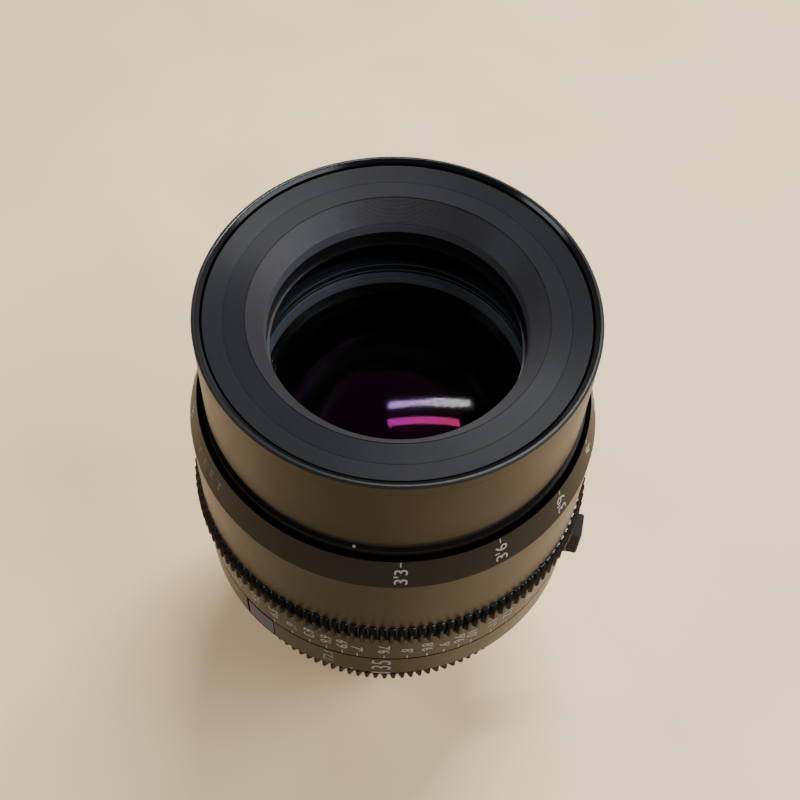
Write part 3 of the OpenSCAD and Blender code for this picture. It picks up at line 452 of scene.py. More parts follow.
def second_finish(piece, low_mm, high_mm):
    """Faces with their middle between two heights take the second finish."""
    for face in piece.data.polygons:
        if low_mm * MM < face.center.z < high_mm * MM:
            face.material_index = 1


# %% [markdown]
# Pieces that are not plain rings, such as the mount with its lugs and the gears, keep the
# shape of their solid. A copy of the mesh is merged and shaded smooth up to a crease angle, so
# that round walls look round and edges stay crisp.

# %% Helper that takes a solid over with smooth walls
MERGE = 1e-6


def taken_over(node_name, name, body, finish, slot=COMMON_SLOT, crease_deg=28.0):
    build = bmesh.new()
    build.from_mesh(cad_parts[node_name].data)
    bmesh.ops.remove_doubles(build, verts=build.verts, dist=MERGE)
    for face in build.faces:
        face.smooth = True
        face.material_index = 0
    piece = in_scene(name, build, finish)
    piece.data.set_sharp_from_angle(angle=math.radians(crease_deg))
    return seat(piece, body, node_name, slot=slot)


# %% [markdown]
# The front is four turned pieces: a rim with an inner bevel, a dished grey plate, the baffle with
# its stepped cone and throat, and the plain barrel. The rim is black at its edge, glossy on the
# bevel and dead black at the bevel's foot, a painted shade that reads as the joint to the plate.

# %% Rim, plate and barrel of the front
EDGE = 0.25
TIGHT = 0.05
PLATE_EDGE = 0.12
BEVEL_END_R = 45.6
rim_section = [(45.1, 138.8), (46.15, 138.8), (46.15, RIM_SEAT_Z), (FRONT_R, RIM_SEAT_Z, TIGHT),
               (FRONT_R, 142.1), (47.1, RIM_Z), (46.5, RIM_Z), (BEVEL_END_R, 141.793), (45.1, 141.4, TIGHT)]
plate_section = [(40.45, 138.8), (45.05, 138.8), (45.05, 141.4), (40.45, 140.3)]
front_section = [(45.4, FRONT_Z), (47.2, FRONT_Z), (FRONT_R, 116.0), (FRONT_R, RIM_SEAT_Z, TIGHT),
                 (46.2, RIM_SEAT_Z), (46.2, 137.4), (44.4, 137.4), (44.4, 122.7), (45.4, 122.7)]
rim = seat(spun("rim", rounded(rim_section, EDGE), rim_edge, barrel_black_painted_warm, rim_gloss, painted_gap_shade), "barrel",
           "front_rim", slot="gloss_black")
WALL_LEAN = 0.95
BEVEL_LEAN = -0.3
# The bevel's foot takes the dead black: painted shade of the joint to the plate.
for face in rim.data.polygons:
    outward = Vector((face.center.x, face.center.y, 0.0)).normalized()
    lean = face.normal.dot(outward)
    if lean > WALL_LEAN:
        face.material_index = 1
    elif lean < BEVEL_LEAN:
        face.material_index = 2 if face.center.xy.length > BEVEL_END_R * MM else 3
plate = seat(spun("plate", rounded(plate_section, PLATE_EDGE), plate_grey), "barrel", "front_plate",
             slot="matt_grey")
front_tube = seat(spun("front_tube", rounded(front_section, EDGE), barrel_black_painted_warm), "barrel", "front_barrel")
print("front pieces", rim.name, plate.name, front_tube.name)

# %% [markdown]
# The steps of the baffle's cone trap stray light, and the photograph shows them as fine rings.
# The flat top has the grey of the plate, the lip below the cone is lighter and the throat black.

# %% Baffle with its stepped cone and throat
CONE_TOP_R = 35.3
CONE_FOOT_R = 31.3
THROAT_R = 30.9
CONE_TOP_Z = 140.5
CONE_FOOT_Z = 135.4
THROAT_Z = 132.7
RIDGE_DEPTH = 0.03
RISE_SHARE = 0.6
CONE_RIDGES = 20
LIP_RIDGES = 7
FOOT_GROOVE = ((0.15, -0.1), (0.1, -0.35))
LIP_DROP = 0.4
FLAT_DEPTH = 0.3
LIP_EDGE = 0.36


def ridges(r0, z0, r1, z1, count):
    """A slope from one point to the other, cut into fine steps."""
    points = []
    for i in range(count):
        middle, end = (i + RISE_SHARE) / count, (i + 1) / count
        points.append((r0 + (r1 - r0) * middle + RIDGE_DEPTH, z0 + (z1 - z0) * middle - RIDGE_DEPTH))
        points.append((r0 + (r1 - r0) * end, z0 + (z1 - z0) * end))
    return points


upper = [(46.0, 137.4), (46.0, 138.8), (40.4, 138.8), (40.4, 140.3), (35.55, 140.48), (35.5, 140.3),
         (35.4, 140.3), (CONE_TOP_R, CONE_TOP_Z)]
cone = ridges(CONE_TOP_R, CONE_TOP_Z, CONE_FOOT_R, CONE_FOOT_Z, CONE_RIDGES)
cone += [(CONE_FOOT_R + out, CONE_FOOT_Z + rise) for out, rise in FOOT_GROOVE]
cone += ridges(CONE_FOOT_R, CONE_FOOT_Z - LIP_DROP, THROAT_R, THROAT_Z, LIP_RIDGES)
lower = [(THROAT_R, 128.7), (30.3, 128.7), (30.3, 128.1), (32.2, 128.1), (32.2, 133.3), (36.2, 138.2),
         (42.4, 137.9), (42.9, 137.4)]
baffle = spun("baffle", upper + cone + lower, baffle_grey, throat_black, plate_grey, lip_grey,
              smooth_deg=20.0)
seat(baffle, "barrel", "front_baffle", slot="matt_grey")
second_finish(baffle, FLOOR_Z, THROAT_Z)
for face in baffle.data.polygons:
    if face.center.xy.length > CONE_TOP_R * MM and face.center.z > (CONE_TOP_Z - FLAT_DEPTH) * MM:
        face.material_index = 2
    elif THROAT_Z < face.center.z / MM < CONE_FOOT_Z - LIP_EDGE:
        face.material_index = 3
print("baffle faces", len(baffle.data.polygons))

# %% [markdown]
# The focus ring is a plain grip between two scales. Behind it sits the gear, and behind that
# the rear scale, while the tapered scale is in front. The fixed band with the index follows
# after a fine gap. A small lug under the focus ring runs against the stop. The foot of the grip
# and the front edge of the tapered ring are dead black, as they lie in the shade of a gap.

# %% Focus ring and its scale rings
FINE = 0.12
LUG_ANGLE = 20.0
LUG_HALF = 1.5
LUG_HEIGHTS = (50.4, 53.05)
LUG_IN_R = 49.25
LUG_OUT_R = 50.55
GRIP_EDGE = 0.4
GRIP_PAINTED_SHADE = 0.39
SCALE_EDGE = 0.4
SCALE_PAINTED_SHADE = 0.42
grip_section = [(49.2, 53.0), (SKIRT_R, 53.0), (SKIRT_R, GRIP_Z), (51.6, GRIP_Z),
                (BARREL_R, GRIP_Z + GRIP_EDGE), (BARREL_R, SCALE_Z, TIGHT), (50.4, SCALE_Z), (50.4, 100.0),
                (49.2, 100.0)]
taper_section = [(49.25, 100.0), (50.35, 100.0), (50.35, SCALE_Z), (BARREL_R, SCALE_Z, TIGHT),
                 (SCALE_TOP_R, SCALE_TOP_Z - SCALE_EDGE), (SCALE_TOP_R - SCALE_EDGE, SCALE_TOP_Z),
                 (48.2, SCALE_TOP_Z), (48.2, 103.1), (47.4, 103.1), (47.4, 101.5), (49.25, 101.5)]
rear_section = [(SKIRT_R, RING_Z), (51.7, RING_Z), (BARREL_R, 56.8), (BARREL_R, GEAR_Z, TIGHT),
                (SKIRT_R, GEAR_Z)]
grip = spun("grip", rounded(grip_section, FINE), barrel_black_painted_warm, painted_gap_shade)
# The foot of the grip is painted shade: dead black below its edge.
second_finish(grip, FLOOR_Z, GRIP_Z + GRIP_PAINTED_SHADE)
lug = bmesh.new()
lug.from_mesh(grip.data)
corners = []
for z in LUG_HEIGHTS:
    for r, side in ((LUG_IN_R, -1), (LUG_OUT_R, -1), (LUG_OUT_R, 1), (LUG_IN_R, 1)):
        a = math.radians(LUG_ANGLE + side * LUG_HALF)
        corners.append(lug.verts.new(ring_point(r, a, z)))
for loop in ((3, 2, 1, 0), (4, 5, 6, 7), (0, 1, 5, 4), (1, 2, 6, 5), (2, 3, 7, 6), (3, 0, 4, 7)):
    lug.faces.new([corners[i] for i in loop])
lug.to_mesh(grip.data)
lug.free()
seat(grip, "focus", "focus_ring")
taper_ring = seat(spun("taper_ring", rounded(taper_section, FINE), scale_black, painted_gap_shade), "focus",
                  "front_scale_ring")
# The front edge of the tapered ring is painted shade: dead black under the front barrel.
second_finish(taper_ring, SCALE_TOP_Z - SCALE_PAINTED_SHADE, RIM_Z)
rear_ring = seat(spun("rear_ring", rounded(rear_section, FINE), barrel_black_painted_warm), "focus", "rear_scale_ring")
print("focus pieces", grip.name, taper_ring.name, rear_ring.name)

# %% [markdown]
# The gears come from the solids, tooth by tooth. The front faces of the focus teeth are glossier
# than the flanks, so that some of them catch the light, and their black is a little lighter: a
# painted highlight. The plain rim behind the focus teeth is spun once more over the solid's rim,
# because it lies next to the smooth scale ring.

# %% Gears
FLANK_CREASE = 12.0
focus_teeth = taken_over("focus_gear", "focus_teeth", "focus", gear_black, "gear_black", FLANK_CREASE)
# The iris teeth are a darker black than the focus teeth: painted shade, as they sit under the band.
iris_teeth = taken_over("iris_gear", "iris_teeth", "iris_ring", iris_teeth_painted_shade, "gear_black", FLANK_CREASE)
FACE_LEAN = 0.9
# Faces turned up take the lighter, glossier black: a painted highlight.
focus_teeth.data.materials.append(tooth_face_highlight)
for face in focus_teeth.data.polygons:
    face.material_index = int(face.normal.z > FACE_LEAN)
COVER_R = BARREL_R + 0.01
gear_rim_section = [(SKIRT_R, GEAR_Z), (COVER_R, GEAR_Z), (COVER_R, TEETH_Z), (SKIRT_R, TEETH_Z)]
seat(spun("gear_rim", rounded(gear_rim_section, FINE), barrel_black_painted_warm), "focus", slot="gear_black")
print("gear faces", len(focus_teeth.data.polygons), len(iris_teeth.data.polygons))

# %% [markdown]
# The fixed band, the iris ring behind it and the tapered housing are rings again. The iris ring
# is a little smaller than the band, so from the front only its teeth show.

# %% Fixed band, iris ring and rear housing
band_section = [(42.95, BAND_Z), (51.6, BAND_Z), (BARREL_R, 46.4), (BARREL_R, BAND_TOP_Z),
                (50.9, BAND_TOP_Z), (50.9, WEB_Z), (50.7, WEB_Z), (50.7, 50.0), (49.1, 50.0), (49.1, WEB_Z),
                (41.4, WEB_Z), (41.4, 50.5), (42.95, 50.5)]
iris_section = [(IRIS_BORE_R, IRIS_Z), (44.0, IRIS_Z), (45.9, 29.2), (45.9, IRIS_GEAR_Z),
                (IRIS_CORE_R, IRIS_GEAR_Z), (IRIS_CORE_R, IRIS_TOP_Z), (IRIS_BORE_R, IRIS_TOP_Z)]
stops_section = [(IRIS_CORE_R, IRIS_FRONT_Z), (IRIS_R, IRIS_FRONT_Z), (IRIS_R, IRIS_TOP_Z),
                 (IRIS_CORE_R, IRIS_TOP_Z)]
housing_section = [(24.2, 9.8), (34.7, 9.8), (35.2, 12.3), (43.8, 23.4), (43.8, 23.7), (42.9, 23.7),
                   (42.9, 50.5), (40.1, 50.5), (40.1, 21.7), (32.2, 15.3), (24.2, 15.3)]
band = seat(spun("band", rounded(band_section, FINE), barrel_black_painted_warm), "barrel", "middle_barrel")
iris_collar = seat(spun("iris_collar", rounded(iris_section, FINE), rear_black), "iris_ring", "iris_ring")
stops_ring = seat(spun("stops_ring", rounded(stops_section, FINE), rear_black), "iris_ring",
                  "iris_scale_ring")
housing = seat(spun("housing", rounded(housing_section, FINE), rear_black), "barrel", "rear_housing")
print("rear rings", band.name, iris_collar.name, stops_ring.name, housing.name)

# %% [markdown]
# Glass has to be spun with a fine section, because a mirror shows every facet. Each surface is
# an arc of its own radius: positive bulges outwards, negative is hollow, zero is flat. Only
# the two front surfaces carry a visible tint, so the others take the dark coating.

# %% Glass elements
ARC_STEPS = 40
REAR_SLANT = 0.3
GLASS_STEPS = 192
CELL_FLOOR_Z = 78.4
AIR_GAP = 0.8
FRONT_THICK = 11.5
SECOND_THICK = 9.0
THIRD_THICK = 7.4
FOURTH_THICK = 2.2
FRONT_GLASS_R = 34.2
FRONT_CURVE = 95.0
FRONT_BACK_CURVE = 300.0
FRONT_BACK_R = 31.5
SECOND_BACK_CURVE = 150.0
SECOND_BACK_R = 30.0
FOURTH_BACK_CURVE = 36.0
FOURTH_BACK_R = 19.0


def sag(curve, r):
    return curve - math.sqrt(curve * curve - r * r)


def arc_points(r_from, r_to, vertex_z, curve, up):
    points = []
    for i in range(ARC_STEPS + 1):
        r = r_from + (r_to - r_from) * i / ARC_STEPS
        drop = 0.0 if curve == 0 else math.copysign(sag(abs(curve), r), curve)
        points.append((r, vertex_z - drop if up else vertex_z + drop))
    return points


def element(name, node, radius, rear, face, finish, rear_clear=None, face_clear=None):
    """rear and face hold the height of the surface on the axis and its curve."""
    section = arc_points(0.0, face_clear or radius, *face, True)
    if face_clear:
        section.append((radius, section[-1][1]))
    back = arc_points(rear_clear or radius, 0.0, *rear, False)
    if rear_clear:
        section.append((radius, back[0][1]))
    piece = spun(name, section + back, finish, glass_inner, smooth_deg=40.0, spin_steps=GLASS_STEPS)
    for part in piece.data.polygons:
        if part.normal.z < REAR_SLANT:
            part.material_index = 1
    return seat(piece, "lens_block", node, slot="coated_glass")


fourth_z = CELL_FLOOR_Z + sag(FOURTH_BACK_CURVE, FOURTH_BACK_R)
cement_z = fourth_z + FOURTH_THICK
third_z = cement_z + THIRD_THICK
second_back_z = third_z + AIR_GAP
second_z = second_back_z + SECOND_THICK
front_back_z = second_z + AIR_GAP
front_z = front_back_z + FRONT_THICK
element("front_glass", "front_element", FRONT_GLASS_R, (front_back_z, -FRONT_BACK_CURVE),
        (front_z, FRONT_CURVE), glass_front, FRONT_BACK_R)
element("second_glass", "second_element", 32.0, (second_back_z, -SECOND_BACK_CURVE), (second_z, 60.0),
        glass_second, SECOND_BACK_R)
element("third_glass", "third_element", 27.0, (cement_z, 0.0), (third_z, 70.0), glass_inner)
element("fourth_glass", "fourth_element", 27.0, (fourth_z, -FOURTH_BACK_CURVE), (cement_z, 0.0),
        glass_inner, FOURTH_BACK_R)
element("eighth_glass", "eighth_element", 19.5, (29.03, 70.0), (32.03, -45.0), glass_inner,
        face_clear=17.2)
print("front vertex at", round(front_z, 2), "mm")

# %% [markdown]
# The front element sits in a cell with a short hood and is held by a tapered ring. Both are
# black and a little glossy, and their colours carry a painted blue-grey reflection of the room:
# a trace of blue in the cell's black, a light blue-grey on the ring. Fine grooves inside the hood
# break the light up into lines.

# %% Front cell and its retaining ring
HOOD_R = 33.7
HOOD_RISE = 7.8
HOOD_CHAMFER = 1.0
HOOD_DARK = 0.05
RETAINER_R = 32.9
RETAINER_RISE = 3.4
CELL_EDGE = 0.1
HOOD_GROOVES = 2
GROOVE_PLACE = 0.35
GROOVE_DEPTH = 0.25
GROOVE_EDGE = 0.02
edge_z = front_z - sag(FRONT_CURVE, RETAINER_R)
hood_z = edge_z + HOOD_RISE
ring_z = edge_z + RETAINER_RISE
seat_z = front_back_z - sag(FRONT_BACK_CURVE, FRONT_BACK_R)
second_seat_z = second_back_z - sag(SECOND_BACK_CURVE, SECOND_BACK_R)
hood_wall = []
for i in range(HOOD_GROOVES):
    top = hood_z - (hood_z - ring_z) * (i + GROOVE_PLACE) / HOOD_GROOVES
    hood_wall += [(HOOD_R, top, GROOVE_EDGE), (HOOD_R + GROOVE_DEPTH, top - GROOVE_DEPTH, GROOVE_EDGE),
                  (HOOD_R, top - 2 * GROOVE_DEPTH, GROOVE_EDGE)]
cell_section = [(24.0, 78.0), (35.95, 78.0), (35.95, 81.0), (36.95, 83.0), (36.95, hood_z - HOOD_CHAMFER),
                (35.95, hood_z), (HOOD_R, hood_z)] + hood_wall
cell_section += [(HOOD_R, ring_z), (34.25, ring_z), (34.25, seat_z), (32.05, seat_z), (32.05, second_seat_z),
                 (27.05, second_seat_z), (27.05, CELL_FLOOR_Z), (24.0, CELL_FLOOR_Z)]
retainer_section = [(RETAINER_R, edge_z), (FRONT_GLASS_R, edge_z), (FRONT_GLASS_R, ring_z), (HOOD_R, ring_z)]
cell = seat(spun("cell", rounded(cell_section, CELL_EDGE), cell_black_painted_sheen, inner_black), "lens_block",
            "front_cell", slot="matt_black")
second_finish(cell, FLOOR_Z, ring_z - HOOD_DARK)
seat(spun("retainer", rounded(retainer_section, CELL_EDGE), retainer_painted_sheen), "lens_block", "front_retainer",
     slot="matt_black")
print("cell front at", round(hood_z, 2), "mm, glass edge at", round(edge_z, 2), "mm")

# %% [markdown]
# The marks of a distance scale follow the lens law. For a distance D from the image plane, a
# lens of focal length f moves out by v - f, where v solves 1/f = 1/v + 1/(D - v). The
# helicoid turns that travel into an angle, so the marks crowd towards infinity as on the real
# ring. Geometry Nodes place one bar on each point and turn it to face outwards.

# %% Tree that sets a bar on every mark
FOCAL = 135.0
FOOT = 304.8
INCH = 25.4
LEAD_MM = 34.3
DEGREES_PER_MM = 360.0 / LEAD_MM
REST_TRAVEL = 9.1


def travel(feet, inches=0):
    distance = feet * FOOT + inches * INCH
    image = (distance - math.sqrt(distance * distance - 4 * FOCAL * distance)) / 2
    return image - FOCAL


def bar_tree():
    tree = bpy.data.node_groups.new("scale_bars", "GeometryNodeTree")
    for label, kind in (("Marks", "Geometry"), ("Depth", "Float"), ("Width", "Float"), ("Length", "Float"),
                        ("Paint", "Material")):
        tree.interface.new_socket(label, in_out="INPUT", socket_type="NodeSocket" + kind)
    tree.interface.new_socket("Bars", in_out="OUTPUT", socket_type="NodeSocketGeometry")
    make = tree.nodes.new
    source = make("NodeGroupInput")
    result = make("NodeGroupOutput")
    size = make("ShaderNodeCombineXYZ")
    bar = make("GeometryNodeMeshCube")
    facing = make("GeometryNodeInputNamedAttribute")
    facing.data_type = "FLOAT_VECTOR"
    facing.inputs["Name"].default_value = "facing"
    spread = make("GeometryNodeInstanceOnPoints")
    solid = make("GeometryNodeRealizeInstances")
    coat = make("GeometryNodeSetMaterial")
    join(source, "Depth", size, "X")
    join(source, "Width", size, "Y")
    join(source, "Length", size, "Z")
    join(size, 0, bar, "Size")
    join(source, "Marks", spread, "Points")
    join(bar, "Mesh", spread, "Instance")
    join(facing, "Attribute", spread, "Rotation")
    join(spread, "Instances", solid, "Geometry")
    join(solid, "Geometry", coat, "Geometry")
    join(source, "Paint", coat, "Material")
    join(coat, "Geometry", result, "Bars")
    return tree


scale_bars = bar_tree()


def bars(name, marks, width_mm, length_mm, depth_mm=0.08):
    """marks holds (angle in degrees, radius in mm, height in mm, tilt in radians) of each bar."""
    mesh = bpy.data.meshes.new(name)
    mesh.from_pydata([ring_point(r, math.radians(angle), z) for angle, r, z, tilt in marks], [], [])
    facing = mesh.attributes.new("facing", "FLOAT_VECTOR", "POINT")
    for i, (angle, r, z, tilt) in enumerate(marks):
        facing.data[i].vector = (0.0, tilt, math.radians(angle))
    piece = linked(name, mesh)
    modifier = piece.modifiers.new("bars", "NODES")
    modifier.node_group = scale_bars
    inputs = {s.name: s.identifier for s in scale_bars.interface.items_tree if s.in_out == "INPUT"}
    for label, size_mm in (("Depth", depth_mm), ("Width", width_mm), ("Length", length_mm)):
        modifier[inputs[label]] = size_mm * MM
    modifier[inputs["Paint"]] = paint_white
    made = bpy.data.meshes.new_from_object(piece.evaluated_get(bpy.context.evaluated_depsgraph_get()))
    piece.modifiers.clear()
    piece.data = made
    bpy.data.meshes.remove(mesh)
    return piece


print("near stop at", round(travel(3, 3), 2), "mm, rest at", round(travel(7, 6), 2), "mm of travel")

# %% [markdown]
# Numbers are text, made into a mesh and then bent round the ring. The mesh is sliced first,
# because a flat digit would cut through the curved metal.

# %% Helper that prints words on a ring
DIGIT_CAP = 0.73
PAINT_LIFT = 0.015
SLICE_MM = 0.5
TEXT_STEPS = 5
TEXT_DEPTH = 0.012


def flat_words(words, align):
    text = bpy.data.curves.new("digits", "FONT")
    text.body = words
    text.size = 1.0
    text.resolution_u = TEXT_STEPS
    text.extrude = TEXT_DEPTH
    text.align_x = align
    holder = linked("digits", text)
    bpy.context.view_layer.update()
    mesh = bpy.data.meshes.new_from_object(holder.evaluated_get(bpy.context.evaluated_depsgraph_get()))
    bpy.data.objects.remove(holder)
    bpy.data.curves.remove(text)
    build = bmesh.new()
    build.from_mesh(mesh)
    bpy.data.meshes.remove(mesh)
    return build


def printed(words, height_mm, angle, z_mm, radius_at, align="LEFT", way="up"):
    build = flat_words(words, align)
    scale = height_mm / DIGIT_CAP
    direction = Vector((1, 0, 0)) if way == "round" else Vector((0, 1, 0))
    places = [vert.co.dot(direction) for vert in build.verts]
    low, high = min(places), max(places)
    slices = max(2, math.ceil((high - low) * scale / SLICE_MM))
    for i in range(1, slices):
        everything = build.verts[:] + build.edges[:] + build.faces[:]
        cut = direction * (low + (high - low) * i / slices)
        bmesh.ops.bisect_plane(build, geom=everything, plane_co=cut, plane_no=direction, dist=MERGE)
    for vert in build.verts:
        along, up = vert.co.x * scale, (vert.co.y - DIGIT_CAP / 2) * scale
        z, turn = z_mm + along, -up
        if way == "round":
            z, turn = z_mm + up, along
        elif way == "down":
            z, turn = z_mm - along, up
        r = radius_at(z) + PAINT_LIFT + vert.co.z * scale
        a = math.radians(angle) + turn / radius_at(z)
        vert.co = Vector((r * math.cos(a), r * math.sin(a), z)) * MM
    return build


def print_set(name, jobs, paint=paint_white):
    whole = bmesh.new()
    for job in jobs:
        part = printed(*job)
        bit = bpy.data.meshes.new("bit")
        part.to_mesh(bit)
        part.free()
        whole.from_mesh(bit)
        bpy.data.meshes.remove(bit)
    bmesh.ops.recalc_face_normals(whole, faces=whole.faces)
    return in_scene(name, whole, paint)


# %% [markdown]
# The front scale runs up, from rear to front, with the tops of the digits to the left. The rear
# scale runs down, and the unit of the front scale runs round the ring.

# %% Both distance scales
MARKS = [(3, 3), (3, 6), (3, 9)]
MARKS += [(feet, inches) for feet in (4, 5, 6) for inches in (0, 3, 6, 9)]
MARKS += [(feet, inches) for feet in (7, 8, 9) for inches in (0, 6)]
MARKS += [(feet, 0) for feet in (10, 11, 12, 14, 16, 20, 25, 35, 60)]
REAR_INDEX = -89.3
FRONT_INDEX = 94.0
REAR_TICK_Z = 58.0
REAR_WORD_Z = 60.6
FRONT_TICK_Z = 110.0
FRONT_WORD_Z = 108.7
UNIT_ANGLE = -156.9
UNIT_STEP = 4.3
UNIT_Z = 107.0
REAR_DIGITS = 3.2
FRONT_DIGITS = 3.4
UNIT_CAPS = 2.8
REAR_TICK = (0.3, 2.0)
FRONT_TICK = (0.32, 1.5)
INFINITY_SHIFT = -DEGREES_PER_MM * REST_TRAVEL
SLOPE = (BARREL_R - SCALE_TOP_R) / (SCALE_TOP_Z - SCALE_EDGE - SCALE_Z)
CONE_TILT = -math.atan(SLOPE)


def on_barrel(z):
    return BARREL_R


def on_cone(z):
    return BARREL_R - SLOPE * (z - SCALE_Z)


shifts = [(DEGREES_PER_MM * (travel(*m) - REST_TRAVEL), "%d'%s" % (m[0], m[1] or "")) for m in MARKS]
shifts.append((INFINITY_SHIFT, "∞"))
rear_marks = [(REAR_INDEX - shift, BARREL_R, REAR_TICK_Z, 0.0) for shift, words in shifts]
front_r = on_cone(FRONT_TICK_Z)
front_marks = [(FRONT_INDEX - shift, front_r, FRONT_TICK_Z, CONE_TILT) for shift, words in shifts]
rear_words, front_words = [], []
for shift, words in shifts:
    rear_words.append((words, REAR_DIGITS, REAR_INDEX - shift, REAR_WORD_Z, on_barrel, "RIGHT", "down"))
    front_words.append((words, FRONT_DIGITS, FRONT_INDEX - shift, FRONT_WORD_Z, on_cone, "RIGHT"))
unit_words = []
for i, letter in enumerate("FEET"):
    unit_words.append((letter, UNIT_CAPS, UNIT_ANGLE + UNIT_STEP * i, UNIT_Z, on_cone, "CENTER", "round"))
seat(bars("rear_ticks", rear_marks, *REAR_TICK), "focus")
seat(bars("front_ticks", front_marks, *FRONT_TICK), "focus")
seat(print_set("rear_numbers", rear_words), "focus")
seat(print_set("front_numbers", front_words), "focus")
seat(print_set("unit_name", unit_words, paint_faint), "focus")
print("distance marks", len(rear_marks), "and", len(front_marks))

# %% [markdown]
# The fixed band holds what the scales are read against: the focal length at the index and the
# widest stop beside it. The iris ring carries the stops. Their places come from the blades: a
# blade that has swung by an angle leaves a hole, and each stop asks for one size of hole.

# %% Focal length, index lines and stops
STOPS = [2.1, 2.8, 4.0, 5.6, 8.0, 11.0, 16.0, 22.0]
OPEN_R = 18.5
BLADE_EDGE_R = 18.7
PIVOT_R = 31.0
BLADE_RATIO = 0.42181
NEAR_SIDE = -90.0
FAR_SIDE = 90.0
STOP_TICK_Z = 44.9
STOP_WORD_Z = 43.6
STOP_DIGITS = 2.4
STOP_TICK = (0.28, 1.3)
INDEX_WORD_Z = 55.9
INDEX_TICK_Z = 55.2
INDEX_TICK = (0.3, 1.6)
FOCAL_DIGITS = 5.5
WIDEST_DIGITS = 3.0
WIDEST_SHIFT = 16.0


def on_stops(z):
    return IRIS_R


stop_marks, stop_words, index_words = [], [], []
for side in (NEAR_SIDE, FAR_SIDE):
    for stop in STOPS:
        hole = OPEN_R * STOPS[0] / stop
        swing = 2 * math.degrees(math.asin((BLADE_EDGE_R - hole) / (2 * PIVOT_R)))
        angle = side - swing / BLADE_RATIO
        stop_marks.append((angle, IRIS_R, STOP_TICK_Z, 0.0))
        stop_words.append(("%g" % stop, STOP_DIGITS, angle, STOP_WORD_Z, on_stops, "LEFT", "down"))
    index_words.append(("135", FOCAL_DIGITS, side, INDEX_WORD_Z, on_barrel, "RIGHT"))
    index_words.append(("T2.1", WIDEST_DIGITS, side - WIDEST_SHIFT, INDEX_WORD_Z, on_barrel, "RIGHT"))
index_marks = [(FRONT_INDEX, BARREL_R, INDEX_TICK_Z, 0.0)]
seat(bars("stop_ticks", stop_marks, *STOP_TICK), "iris_ring")
seat(print_set("stop_numbers", stop_words), "iris_ring")
seat(bars("index_lines", index_marks, *INDEX_TICK), "barrel")
seat(print_set("index_numbers", index_words, paint_greyer), "barrel")
print("stops", STOPS)

# %% [markdown]
# The collar under the front barrel is spun over the solid, since its edge lies next to a smooth
# barrel. A small white dot beside it helps to line the front up, another one marks the fixed
# band, and a bare slate plate closes a recess there. The recess is a dead black sheet under the
# plate, a painted shade, that shows as a dark edge on two sides of the plate.

# %% Collar, dots and the plate on the band
COLLAR_Z = 113.2
COLLAR_R = 46.95
FACING_OUT = math.pi / 2
FACING_UP = 0.0
DOT_SIDES = 24
DOT_TAPER = 0.85
DOT_DEPTH = 0.12
CORNER_STEPS = 6
PLATE_COLUMNS = 12
PLATE_SUNK = 0.2


def dot(name, radius_mm, angle, r_mm, z_mm, facing):
    build = bmesh.new()
    bmesh.ops.create_cone(build, cap_ends=True, segments=DOT_SIDES, radius1=radius_mm,
                          radius2=radius_mm * DOT_TAPER, depth=DOT_DEPTH)
    place = Matrix.Rotation(math.radians(angle), 4, "Z") @ Matrix.Translation((r_mm, 0, z_mm)) \
        @ Matrix.Rotation(facing, 4, "Y")
    bmesh.ops.transform(build, matrix=Matrix.Scale(MM, 4) @ place, verts=build.verts)
    return in_scene(name, build, paint_white)


def curved_plate(name, angles, heights, thick_mm, finish, corner_mm=0.5):
    build = bmesh.new()
    width = math.radians(angles[1] - angles[0]) * BARREL_R
    height = heights[1] - heights[0]
    right, top = width / 2 - corner_mm, height / 2 - corner_mm
    outline = []
    for cx, cy, start in ((right, top, 0), (-right, top, 90), (-right, -top, 180), (right, -top, 270)):
        for k in range(CORNER_STEPS + 1):
            a = math.radians(start + 90 * k / CORNER_STEPS)
            outline.append((cx + corner_mm * math.cos(a), cy + corner_mm * math.sin(a)))
    build.faces.new([build.verts.new((x, y, 0)) for x, y in outline])
    for i in range(1, PLATE_COLUMNS):
        everything = build.verts[:] + build.edges[:] + build.faces[:]
        bmesh.ops.bisect_plane(build, geom=everything, plane_co=(width * (i / PLATE_COLUMNS - 0.5), 0, 0),
                               plane_no=(1, 0, 0), dist=MERGE)
    raised = bmesh.ops.extrude_face_region(build, geom=build.faces[:])
    for vert in raised["geom"]:
        if isinstance(vert, bmesh.types.BMVert):
            vert.co.z = thick_mm
    middle = math.radians(sum(angles) / 2)
    for vert in build.verts:
        a = middle + vert.co.x / BARREL_R
        r = BARREL_R - PLATE_SUNK + vert.co.z
        vert.co = Vector((r * math.cos(a), r * math.sin(a), sum(heights) / 2 + vert.co.y)) * MM
    bmesh.ops.recalc_face_normals(build, faces=build.faces)
    return in_scene(name, build, finish)


# The collar's lighter, warm black is painted light, so it shows in the shade under the barrel.
collar_section = [(46.0, COLLAR_Z), (COLLAR_R, COLLAR_Z), (COLLAR_R, FRONT_Z), (46.0, FRONT_Z)]
collar = seat(spun("collar", rounded(collar_section, TIGHT), collar_painted_sheen), "barrel")
collar_dot = seat(dot("collar_dot", 0.45, angle=-99.0, r_mm=47.6, z_mm=COLLAR_Z, facing=FACING_UP),
                  "barrel", slot="gloss_black")
band_dot = seat(dot("band_dot", 0.35, angle=-98.8, r_mm=BARREL_R, z_mm=47.2, facing=FACING_OUT),
                "barrel", slot="gloss_black")
# The sheet under the label is dead black: painted shade of its recess.
label_recess_shade = seat(curved_plate("label_recess_shade", (-136.0, -124.5), (46.45, 56.1), 0.22, painted_gap_shade), "barrel")
label_plate = seat(curved_plate("label_plate", (-135.0, -124.7), (47.3, 56.0), 0.27, label_slate), "barrel")
print("small pieces", collar.name, collar_dot.name, band_dot.name, label_recess_shade.name, label_plate.name)

# %% [markdown]
# The mount, the sleeve and the foot keep their solids with smooth walls. The other nodes that
# were not spun again stay as they are and get their finish by name.

